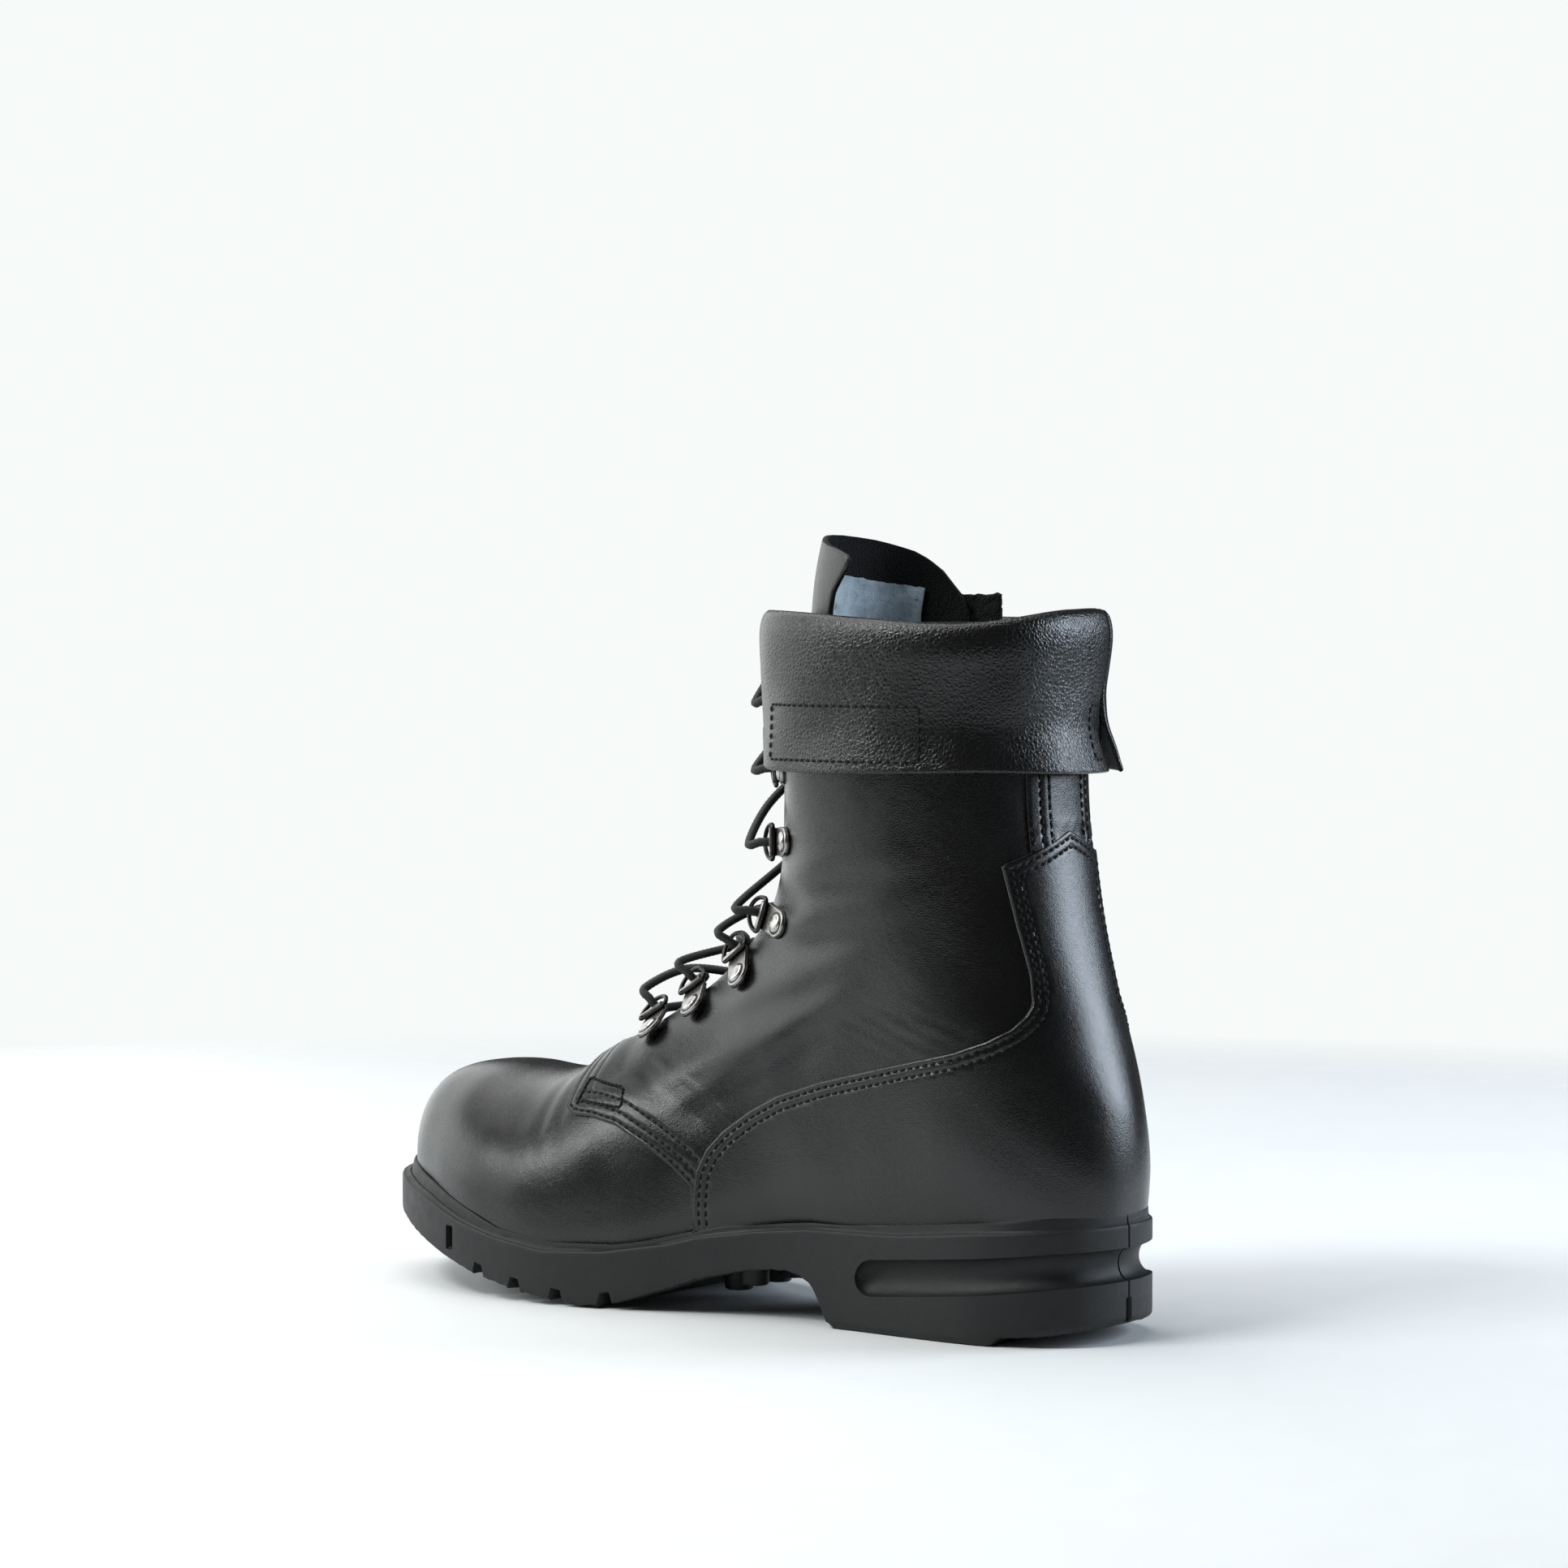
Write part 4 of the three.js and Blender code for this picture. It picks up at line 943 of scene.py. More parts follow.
def in_foxing(rows):
    """Whether points on the last lie under the heel foxing."""
    f, s, z = forward(rows), lateral(rows), rows[:, 2]
    within = np.where(s > 0, inside(FOXING_POLYGON, f, z), inside(FOXING_MEDIAL_POLYGON, f, z))
    return within & (z < gable_height(s))


def foxing_outline():
    """The foxing's edge: up the lateral side, over the gable at the back and down the medial side."""
    across = np.linspace(*GABLE_SPAN, 70)
    gable = trace_back(across, gable_height(across))
    return np.vstack([lift(FOXING_EDGE, 1), gable, lift(FOXING_MEDIAL_EDGE, -1)[::-1]])


def upper_fields():
    """The distances to every seam, worked out once for the whole last."""
    seam_line = both_sides([[148.5, 30]] + VAMP_SEAM)
    foxing_line = foxing_outline()
    last["vamp"] = signed(last, seam_line, inside(VAMP_POLYGON, forward(last.points), last["z"]))
    last["foxing"] = signed(last, foxing_line, in_foxing(last.points))
    s = lateral(last.points)
    front = np.cos(last["phi"]) > -0.2
    last["facing"] = np.where(front, np.abs(s) - LACE_GAP, 30.0)
    last["stay"] = np.where(front, -30.0, BACKSTAY_HALF - np.abs(s))
    to_side = np.abs(s) + 0.001
    last["side"] = np.where((last["phi"] > 0) & (last["phi"] < math.pi), to_side, -to_side)
    last["above"] = sole_side(last)
    return foxing_line


def leather_swell(points):
    return 0.16 * ripples(points, 3, 9, 30.0) + 0.015 * ripples(points, 5, 9, 11.0)


def ankle_folds(points):
    """Soft folds that run back and up across the ankle, and fine creases behind it."""
    f, z = forward(points), points[:, 2]
    total = np.zeros(len(points))
    for f0, z0, slope, width, length, depth in (
        (120, 96, -0.42, 7.0, 46, 1.6), (112, 114, -0.30, 7.0, 42, 1.3), (104, 134, -0.16, 7.0, 40, 1.0),
        (138, 80, -0.55, 4.5, 36, 0.6), (96, 152, -0.10, 6.5, 38, 0.5),
    ):
        across = z - (z0 + slope * (f - f0))
        total += depth * np.exp(-((across / width) ** 2)) * np.exp(-(((f - f0) / length) ** 4))
    creased = np.exp(-(((f - 64) / 22) ** 2)) * np.exp(-(((z - 99) / 8) ** 2))
    fine = 0.2 * ripples(np.column_stack([points[:, 0] * 0, points[:, 1] * 0.45, z * 1.3]), 11, 7, 6.0)
    return total + creased * fine


def leather_piece(name, node, skin, outer, inner):
    """A leather panel between two distances from the last."""
    vertices, faces, kinds = thicken(skin, outer, inner)
    make_piece(name, vertices, faces, [FULL_GRAIN, SUEDE_BLACK, CUT_EDGE], kinds,
               replaces=[node])


def build_vamp():
    skin = last.copy().keep("above")
    skin.keep("vamp", -LAP)
    round_edge(skin, "vamp", EDGE_ROUND)
    outer = leather_swell(skin.points) * smoothstep(skin["vamp"], 0, 12)
    f = forward(skin.points)
    for f0, depth in ((214, 0.5), (206, 0.35)):  # creases where the toes bend
        across = f - (f0 + 0.1 * (skin["z"] - 70))
        outer = outer - depth * np.exp(-((across / 2.6) ** 2)) * smoothstep(skin["z"], 45, 62)
    leather_piece("vamp_leather", "vamp", skin, outer, -LEATHER)


def build_quarter(name, side):
    skin = last.copy().keep("above")
    skin.trim("behind", -skin["vamp"])
    skin.trim("clear", FOXING_LAP - skin["foxing"])
    skin.trim("ahead", skin["facing"])
    skin.trim("below", UPPER_TOP - skin["z"])
    mine = (side * skin["side"])[skin.triangles]
    at_back_seam = (np.abs(lateral(skin.points))[skin.triangles] < 3).any(1)
    skin.only((mine > 0).all(1) | (at_back_seam & (mine.mean(1) > 0)))
    round_edge(skin, "behind", EDGE_ROUND)
    round_edge(skin, "ahead", EDGE_ROUND)
    bend_at_grooves(skin, "behind", VAMP_ROWS)
    rise = SEAM_RISE * (1 - smoothstep(skin["behind"], 10, 20))
    edge = np.minimum(skin["behind"], np.where(skin["ahead"] < 6, skin["ahead"], 9))
    swell = leather_swell(skin.points) + ankle_folds(skin.points)
    outer = rise + swell * smoothstep(skin["behind"], 8, 22) * smoothstep(skin["ahead"], 2, 14)
    outer = outer - rounded(edge, EDGE_ROUND) - grooves(skin["behind"], VAMP_ROWS)
    inner = -LEATHER + (rise + LEATHER - 0.1) * (rise > 0.05) * (rise / SEAM_RISE)
    leather_piece("quarter_leather_" + name, "quarter_" + name, skin, outer, inner)


def build_foxing():
    skin = last.copy().keep("above")
    skin.keep("foxing")
    round_edge(skin, "foxing", OVERLAY_ROUND)
    bend_at_grooves(skin, "foxing", FOXING_ROWS)
    swell = 0.5 * leather_swell(skin.points) * smoothstep(skin["foxing"], 6, 16)
    outer = OVERLAY_TOP + swell - rounded(skin["foxing"], OVERLAY_ROUND)
    outer = outer - grooves(skin["foxing"], FOXING_ROWS)
    leather_piece("heel_foxing_leather", "heel_foxing", skin, outer, 0.05)


def build_backstay():
    skin = last.copy()
    skin.keep("stay")
    skin.trim("top", UPPER_TOP - skin["z"])
    skin.trim("bottom", skin["z"] - BACKSTAY_FOOT)
    round_edge(skin, "stay", OVERLAY_ROUND)
    bend_at_grooves(skin, "stay", BACKSTAY_ROWS)
    ridge = 0.25 * np.exp(-(((skin["stay"] - 6.5) / 1.6) ** 2))
    outer = 1.4 - rounded(skin["stay"], OVERLAY_ROUND) + ridge - grooves(skin["stay"], BACKSTAY_ROWS)
    puckers = 0.18 * np.sin(skin["z"] * 2.1 + 0.7 * np.sin(skin["x"])) * smoothstep(-skin["z"], -172, -163)
    leather_piece("backstay_leather", "backstay", skin, outer + puckers, 0.05)


def stitch_vamp_seam():
    rows = []
    for distance in VAMP_ROWS:
        for _, boot_side in SIDES:
            line = lift([[149.5, 43.5]] + VAMP_SEAM[1:7], boot_side)
            for side in (-1, 1):
                moved = soften(inset_line(line, distance, side))
                if inside(VAMP_POLYGON, forward(moved), moved[:, 2]).mean() < 0.5:
                    rows.append(moved[~in_foxing(moved)])
    add_stitches("seam_stitches", rows, SEAM_RISE - 0.12)
    box = [lift(BAR_TACK, side) for _, side in SIDES]
    add_stitches("bar_tack_stitches", box, SEAM_RISE + 0.1, pitch=1.9)


def stitch_foxing(foxing_line):
    rows = []
    for distance in FOXING_ROWS:
        for side in (-1, 1):
            moved = inset_line(foxing_line, distance, side)
            if in_foxing(moved).mean() > 0.5:
                rows += [soften(part) for part in broken(moved) if len(part) > 6]
    rows = [row[row[:, 2] > table_at(LIP_LINE, forward(row)) - 1] for row in rows]
    add_stitches("foxing_stitches", rows, OVERLAY_TOP - 0.12)


def stitch_backstay():
    near, far = (BACKSTAY_HALF - row for row in BACKSTAY_ROWS)
    rows = [trace_back(s, np.arange(157, 229, 1.5)) for s in (-near, -far, far, near)]
    add_stitches("backstay_stitches", [row[~in_foxing(row)] for row in rows], 1.45)


def build_linings():
    for name, side in SIDES:
        skin = last.copy()
        skin.trim("low", skin["z"] - LINING_FOOT)
        skin.trim("top", LINING_TOP - skin["z"])
        skin.trim("ahead", skin["facing"] - 1.5)
        skin.trim("ring", LINING_FRONT - forward(skin.points))
        skin.only((side * skin["side"][skin.triangles]).mean(1) > 0)
        vertices, faces, _ = thicken(skin, LINING_OUTER, LINING_INNER)
        make_piece("shaft_lining_" + name, vertices, faces, [LINING],
                   replaces=["quarter_lining_" + name])


# ---------------------------------------------------------------- sole unit
def channel_lines():
    lines = []
    for f, edge in ((272, 36), (254, 42), (234, 75), (217, 75), (200, 75), (182, 75)):
        lines.append(((f, edge), (f - 7, 20)))
    for f in (276, 258, 240, 222, 204, 186):
        lines.append(((f, -75), (f - 7, -20)))
    for f, s in ((264, 6), (246, 4), (228, 2), (210, 0), (192, 0)):
        lines.append(((f, s - 18), (f, s + 18)))
    for f in (38, 66):
        lines += [((f, 31), (f, 14)), ((f, -31), (f, -14))]
    return lines


def channel_distance(f, s):
    """Distance in the plan outside the nearest channel between two lugs."""
    best = np.full(len(f), 1e9)
    for (f0, s0), (f1, s1) in channel_lines():
        df, ds = f1 - f0, s1 - s0
        t = np.clip(((f - f0) * df + (s - s0) * ds) / (df * df + ds * ds), 0, 1)
        best = np.minimum(best, np.hypot(f - f0 - t * df, s - s0 - t * ds) - CHANNEL_HALF)
    return best


def heel_slot(f, z):
    """Where a point lies across the groove round the heel: 0 on its middle line, 1 on its edge."""
    middle = table_at([[-5, 25.8], [12, 24.75], [37, 22.0], [76, 18.3], [90, 17.2]], f)
    half = table_at([[-5, 5.2], [12, 5.75], [37, 6.0]], f)
    end = np.maximum(f - 77.5, 0) / 6.5
    return np.hypot((z - middle) / half, end)


def sole_rows(outline, normals, attach):
    """Rows of the sole's skin from inside the upper, over the lip and the welt, to the foot of the wall."""
    f = outline[:, 0]
    width = np.maximum(((outline - attach) * normals).sum(1), 1.6)
    lip = table_at(LIP_LINE, f)
    top = np.minimum(table_at(SOLE_TOP_EDGE, f), lip - 0.4)
    squeeze = np.clip((width - 0.4) / 5.2, 0.25, 1.15)
    rows = [(-7.0, lip - 8), (-2.5, lip - 4), (-0.7, lip - 0.3), (0.0, lip + 0.35)]
    rows += [(0.55 * squeeze, lip + 0.5), (1.15 * squeeze, lip + 0.2), (1.45 * squeeze, lip - 0.6),
             (1.6 * squeeze, lip - 1.5), (2.3 * squeeze, np.minimum(lip - 1.6, top + 0.1)),
             (2.6 * squeeze, np.minimum(lip - 1.1, top + 0.7))]
    rows = [(attach + normals * np.broadcast_to(d, len(f))[:, None], z) for d, z in rows]
    for back, drop in ((1.3, 0.06), (0.8, 0.05), (0.45, 0.12), (0.2, 0.32), (0.05, 0.7), (0.0, 1.2)):
        rows.append((outline - normals * np.minimum(back, width * 0.35)[:, None], top - drop))
    return rows, top


def sole_plan():
    """The sole's outline in the plan as [f, s], with its outward normals."""
    loop = even_curve(SOLE_OUTLINE, OUTLINE_STEP, closed=True)
    tangent = unit(np.roll(loop, -1, axis=0) - np.roll(loop, 1, axis=0))
    normals = np.stack([-tangent[:, 1], tangent[:, 0]], -1)
    return loop, normals * np.sign((normals * (loop - [150, 0])).sum(1).mean())


def upper_foot(loop, normals):
    """The line in the plan where the upper meets the sole, softened."""
    attach = []
    for (f, s), (nf, ns) in zip(loop, normals):
        start = np.array([s + ns * 40 + CENTRE_X, SOLE_LENGTH / 2 - (f + nf * 40), table_at(LIP_LINE, f)])
        found = hit(start, (-ns, nf, 0))
        cover = LEATHER if f < COVER_FRONT else 0.0
        reach = 6.0
        if found is not None:
            reach = np.clip(np.linalg.norm(found[:2] - start[:2]) - 40 - cover, 0.9, 14.0)
        attach.append([f - nf * reach, s - ns * reach])
    attach = np.array(attach)
    for _ in range(6):
        attach = (np.roll(attach, 1, axis=0) + 2 * attach + np.roll(attach, -1, axis=0)) / 4
    return attach


def sole_skin(loop, normals, attach):
    """The sole's skin as rows round its outline, from the spine over the lip, down the wall and back under.

    share is below 0 on top, runs from 0 to 1 down the wall and on to 2 across the tread.
    """
    rows, top = sole_rows(loop, normals, attach)
    count = len(loop)
    spine_f = np.clip(loop[:, 0], SPINE[0][0], SPINE[-1][0])
    spine = np.stack([spine_f, table_at(SPINE, spine_f)], -1)
    inner = attach - normals * 7.0
    wall_top = top - 1.2
    layers = []
    for w in (0.0, 0.5):
        height = table_at(LIP_LINE, loop[:, 0]) * w + (1 - w) * table_at(LIP_LINE, spine_f) - 8
        layers.append((spine + (inner - spine) * w, height, -2.0))
    layers += [(plan, z, -1.0) for plan, z in rows]
    layers += [(loop, wall_top, w) for w in np.linspace(0, 1, 27)[1:]]
    layers += [(loop + (spine - loop) * w, wall_top, 1.0 + w) for w in np.linspace(0, 1, 28)[1:]]
    plan = np.vstack([layer[0] for layer in layers])
    height = np.concatenate([np.broadcast_to(layer[1], count) for layer in layers])
    share = np.repeat([layer[2] for layer in layers], count)
    outwards = np.tile(normals, (len(layers), 1))
    data = np.column_stack([np.zeros((len(plan), 6)), plan, height, share, outwards])
    quads = grid_quads(len(layers), count)
    triangles = np.vstack([quads[:, [0, 3, 2]], quads[:, [0, 2, 1]]])
    return Skin(data, ["x", "y", "z", "nx", "ny", "nz", "f", "s", "base", "share", "of", "os"], triangles)


def on_wall(skin):
    return (skin["share"] > 0) & (skin["share"] <= 1)


def carve_tread(skin):
    """Cuts the channels between the lugs and gives every point its height."""
    skin["channel"] = np.where(skin["share"] > 0, channel_distance(skin["f"], skin["s"]), 20.0)
    skin.split("channel", 0.0)
    skin.split("channel", -CHANNEL_WALL)
    skin["shank"] = np.where(skin["share"] > 0, skin["f"], 150.0)
    for f in (93, 96, 99, 102, 106):  # where the heel's front face bends
        skin.split("shank", float(f))
    f, share, base = skin["f"], skin["share"], skin["base"]
    tread = table_at(TREAD, f)
    flash = 0.12 * np.sin(f * 1.3) + 0.1 * np.sin(f * 3.1 + 1.0) + 0.22
    channel = LUG_DEPTH * smoothstep(-skin["channel"], 0, CHANNEL_WALL)
    floor = tread + channel + np.where(tread > 0.3, flash, 0.0)
    z = np.where(share > 0, floor, base)
    z = np.where(on_wall(skin), base + (floor - base) * share, z)
    skin["z"] = np.where(on_wall(skin) & (share > 0.999), floor + 0.5, z)


def carve_wall(skin):
    """How far the wall is drawn in at the heel's groove, the side notch, the mould's seam and its foot."""
    skin.snap = 0.004
    skin["slot"] = np.where(on_wall(skin), heel_slot(skin["f"], skin["z"]), 9.0)
    for level in (1.0, 0.97, 0.9, 0.78):
        skin.split("slot", level)
    notch = np.maximum(np.abs(skin["f"] - 246.5) - 1.9, np.abs(skin["z"] - 19.0) - 4.2)
    skin["notch"] = np.where(on_wall(skin) & (skin["s"] > 0), -notch, -9.0)
    skin.split("notch", 0.0)
    skin.split("notch", 0.5)
    at_heel = (skin["f"] < 12) & (skin["share"] <= 1) & (skin["share"] > -1.5)
    skin["mould"] = np.where(at_heel, 2.0 - np.abs(skin["s"] - 3.0), -9.0)
    for level in (1.0, 1.55, 1.75, 2.0):
        skin.split("mould", level)
    wall = on_wall(skin)
    inward = 4.4 * np.sqrt(np.maximum(1 - np.clip(skin["slot"], 0, 1) ** 2, 0)) * wall
    inward += 3.0 * smoothstep(skin["notch"], 0, 0.5)
    inward += 0.5 * (np.clip((skin["share"] - 0.94) / 0.06, 0, 1) * wall) ** 2
    inward += 0.45 * smoothstep(skin["mould"], 1.55, 1.75)
    plug = (skin["z"] > 5) & (skin["z"] < 14.5) & wall
    return inward + 1.6 * smoothstep(skin["mould"], 0.9, 1.2) * plug


def build_sole():
    loop, normals = sole_plan()
    skin = sole_skin(loop, normals, upper_foot(loop, normals))
    carve_tread(skin)
    inward = carve_wall(skin)
    points = place(skin["f"] - skin["of"] * inward, skin["s"] - skin["os"] * inward, skin["z"])
    shapes = [(0, (points, skin.triangles[:, ::-1].tolist()))]
    stud, stud_faces = turned([(5.2, 4.5), (5.0, -3.2), (4.8, -4.6), (4.3, -5.0), (0.0, -5.1)], 24)
    for f, s in STUDS:
        standing = place(f + stud[:, 0], s + stud[:, 1], table_at(TREAD, f) + stud[:, 2])
        shapes.append((0, (standing, stud_faces)))
    vertices, faces, _ = joined(shapes)
    make_piece("outsole_rubber", vertices, faces, [RUBBER], sharp=32, replaces=["outsole"])


# ---------------------------------------------------------------- thick sheets from grids
def sheet_solid(points, normals, thickness):
    """A closed sheet over a grid, its four edges rounded. Kinds: 0 front, 1 back."""
    rows, cols = points.shape[:2]
    radius = thickness / 2
    row_gap = np.linalg.norm(np.diff(points, axis=0), axis=2).mean()
    col_gap = np.linalg.norm(np.diff(points, axis=1), axis=2).mean()

    def stations(count, gap):
        ends = [radius * e / gap for e in (0.0, 0.08, 0.3, 0.65)]
        ends = [e for e in ends if e < 0.9]
        return np.array(ends + list(range(1, count - 1)) + [count - 1 - e for e in reversed(ends)])

    rs, cs = stations(rows, row_gap), stations(cols, col_gap)

    def sample(grid):
        def along(g, at):
            k = np.minimum(at.astype(int), g.shape[0] - 2)
            share = (at - k).reshape(-1, *([1] * (g.ndim - 1)))
            return g[k] * (1 - share) + g[k + 1] * share
        return along(along(grid, rs).swapaxes(0, 1), cs).swapaxes(0, 1)

    p, n = sample(points), unit(sample(normals))
    edge_r = np.minimum(rs, rows - 1 - rs) * row_gap
    edge_c = np.minimum(cs, cols - 1 - cs) * col_gap
    inset = np.minimum(edge_r[:, None], edge_c[None])
    t = np.clip(1 - inset / radius, 0, 1)
    lift_by = (thickness / 2 * np.sqrt(np.maximum(1 - t * t, 0)))[..., None]
    count_r, count_c = len(rs), len(cs)
    front, back = (p + n * lift_by).reshape(-1, 3), (p - n * lift_by).reshape(-1, 3)
    border = np.zeros((count_r, count_c), bool)
    border[[0, -1]] = True
    border[:, [0, -1]] = True
    border = border.ravel()
    back_index = np.where(border, np.arange(len(front)), 0)
    back_index[~border] = len(front) + np.arange((~border).sum())
    vertices = np.vstack([front, back[~border]])
    quads = grid_quads(count_r, count_c, around=False)
    faces = np.vstack([quads, back_index[quads[:, ::-1]]])
    kinds = np.repeat([0, 1], len(quads))
    return vertices, faces, kinds


def orient(vertices, faces, normals, points):
    """Turns the faces round if the front looks inwards."""
    quad = faces[len(faces) // 4]
    a, b, c = (vertices[quad[i]] for i in range(3))
    face_normal = np.cross(b - a, c - a)
    nearest = np.linalg.norm(points - a, axis=2)
    row, col = np.unravel_index(nearest.argmin(), nearest.shape)
    return faces if (face_normal @ normals[row, col]) > 0 else faces[:, ::-1]


def sheet_piece(name, node, points, normals, thickness, materials, slot, sharp=60):
    """A sheet over a grid, with one material, or one for the front and one for the back."""
    vertices, faces, kinds = sheet_solid(points, normals, thickness)
    faces = orient(vertices, faces, normals, points)
    kinds = kinds if len(materials) > 1 else None
    make_piece(name, vertices, faces, materials, kinds, sharp=sharp, replaces=[node])


# ---------------------------------------------------------------- collar
def shaft_frame(phi, z, distance):
    """A point of the shaft's section at a height, moved outwards, and its level normal."""
    share = np.clip((z - 185) / (234 - 185), 0, 1)[..., None]
    rings = LAST[-3] + (LAST[-1] - LAST[-3]) * share

    def section(angle):
        flat = ring_points(rings, angle)
        flat[..., 2] = z
        return flat

    step = 0.03
    point = section(phi)
    normal = unit(np.cross(section(phi + step) - section(phi - step), UP))
    return point + normal * np.asarray(distance)[..., None], normal


def cuff_profile(phi, front_edge):
    """The collar's middle line at one angle: rows of [distance, z] from the inner edge to the hem."""
    back = 0.5 - 0.5 * math.cos(phi)
    dip = 5.2 * math.exp(-(((phi - 2.2) / 0.75) ** 2)) + 2.6 * math.exp(-(((phi - 4.5) / 0.8) ** 2))
    rim = RIM + 0.3 - dip + 1.2 * back**3
    lean = 1.6 * back**2
    corner = 11.0
    near = np.clip((corner - front_edge) / corner, 0, 1)
    hem = CUFF_BOTTOM + corner * (1 - math.sqrt(max(1 - near**2, 0))) * 0.9
    hem += 0.5 * math.sin(phi * 3.1 + 0.6)
    flare = 3.0 * back**2 + 0.6 * math.sin(phi * 2.3 + 1.0) ** 2
    waist = 0.8 * back
    knots = [[-1.7, rim - 13], [-1.5, rim - 7], [-0.7, rim - 2.6], [1.0 + lean * 0.6, rim - 0.6],
             [3.0 + lean, rim - 1.2], [4.4 + lean, rim - 4.6], [4.9 + lean * 0.9, rim - 10],
             [4.7 + lean * 0.3, 216], [4.2 - waist * 0.4, 206], [4.1 - waist, 197],
             [4.1 + flare * 0.55 - waist * 0.3, hem + 5], [4.2 + flare, hem]]
    return even_curve(knots, 1.6)


CUFF_ROWS = 44
CUFF_GAPE = 4.2  # how far the inner half's end stands away from the shaft at the hem
CUFF_PITCH = 1.9


def cuff_grid(start, end, front_at_start):
    """Points and outward normals of one half of the collar, hem last."""
    span = abs(end - start) * 47.0
    angles = np.linspace(start, end, int(span / CUFF_PITCH))
    rows = []
    for phi in angles:
        walked = abs(phi - (start if front_at_start else end)) * 44.0
        line = cuff_profile(phi, walked)
        at = np.linspace(0, len(line) - 1, CUFF_ROWS)
        rows.append(np.stack([np.interp(at, np.arange(len(line)), line[:, i]) for i in (0, 1)], -1))
    rows = np.array(rows).swapaxes(0, 1)
    phi = np.broadcast_to(angles, rows.shape[:2])
    distance, z = rows[..., 0], rows[..., 1]
    wave = 0.35 * np.sin(phi * 5.3 + z * 0.09) + 0.25 * np.sin(phi * 9.1 - z * 0.14 + 1.0)
    if not front_at_start:
        wave = wave + CUFF_GAPE * np.exp(-((phi - start) / 0.3) ** 2) * smoothstep(-z, -212, -188)
    distance = distance + wave * smoothstep(-z, -228, -205)
    points, _ = shaft_frame(phi, z, distance)
    down = np.gradient(points, axis=0)
    around = np.gradient(points, axis=1)
    return points, unit(np.cross(around, -down)), phi


def face_outwards(points, normals):
    middle = points[len(points) // 2, points.shape[1] // 2]
    centre = np.array([CENTRE_X, SOLE_LENGTH / 2 - 79, middle[2]])
    flip = np.sign(((middle - centre) * normals[len(points) // 2, points.shape[1] // 2]).sum())
    return normals * flip


def build_cuff():
    surfaces = {}
    for name, span, front_at_start in (("lateral", (0.5, 3.5), True), ("medial", (3.54, 5.72), False)):
        points, normals, phi = cuff_grid(*span, front_at_start)
        normals = face_outwards(points, normals)
        sheet_piece("collar_" + name, "cuff_" + name, points, normals, CUFF_THICKNESS,
                    [PEBBLED, SUEDE_BLACK], "soft_leather", sharp=50)
        surfaces[name] = (points, normals, phi)
    stitch_cuff(surfaces["lateral"])
    build_patches()


def surface_rows(surface, corners):
    """A line on a collar's outside through [phi, z] corners."""
    points, normals, phi = surface
    flat = np.array(corners, float) * [SHAFT_RADIUS, 1]
    outline = resample(np.column_stack([flat, np.zeros(len(corners))]), 0.8)
    columns = phi[0]
    result = []
    for x, z, _ in outline:
        at = np.interp(x / SHAFT_RADIUS, columns, np.arange(len(columns)))
        k = min(int(at), len(columns) - 2)
        share = at - k
        column = points[:, k] * (1 - share) + points[:, k + 1] * share
        column_normal = normals[:, k] * (1 - share) + normals[:, k + 1] * share
        outside = np.arange(len(column))[len(column) // 3:]
        row = np.interp(-z, -column[outside, 2], outside)
        r = min(int(row), len(column) - 2)
        t = row - r
        result.append([*(column[r] * (1 - t) + column[r + 1] * t),
                       *(column_normal[r] * (1 - t) + column_normal[r + 1] * t)])
    return np.array(result)


def stitch_cuff(surface):
    """The rectangle over the hook tape, and three sides of the one at the collar's back end."""
    top, bottom = 204.6, 186.6
    near, far = 0.86, 1.98
    start, end = 3.30, 3.49
    edges = [
        [[near, top], [far, top]], [[far, top], [far, bottom]], [[far, bottom], [near, bottom]],
        [[near, bottom], [near, top]],
        [[start, top], [end, top]], [[start, top], [start, bottom]], [[start, bottom], [end, bottom]],
    ]
    lines = [surface_rows(surface, edge) for edge in edges]
    add_stitches("collar_stitches", lines, CUFF_THICKNESS / 2 + 0.05)


def shaft_patch(name, node, phis, heights, distances, fuzz, seed):
    """A ragged pile patch on the shaft between two angles, two heights and two distances."""
    columns = max(int(abs(phis[1] - phis[0]) * SHAFT_RADIUS), 6)
    rows = max(int(heights[1] - heights[0]), 5)
    phi, z = np.meshgrid(np.linspace(*phis, columns), np.linspace(*heights, rows))
    points, normals = shaft_frame(phi, z, np.full(phi.shape, sum(distances) / 2))
    rng = np.random.default_rng(seed)
    points = points + normals * rng.uniform(-fuzz, fuzz, phi.shape)[..., None]
    points[..., 2] += rng.uniform(-fuzz, fuzz, phi.shape)
    sheet_piece(name, node, points, face_outwards(points, normals), distances[1] - distances[0], [PILE],
                "hook_and_loop")


def build_patches():
    shaft_patch("hook_tape", "cuff_hook_patch", (0.9, 1.72), (188.5, 203), (1.5, 2.8), 0.1, 2)
    shaft_patch("loop_tape", "shaft_loop_patch", (0.95, 1.75), (189, 203), (0.1, 1.0), 0.1, 3)
    shaft_patch("collar_end_tape", "cuff_end_patch", (3.36, 3.78), (186, 205), (2.0, 3.6), 0.3, 4)
    shaft_patch("loop_tab", "cuff_tab", (4.74, 5.14), (230, 241.3), (-5.4, -3.2), 0.45, 5)


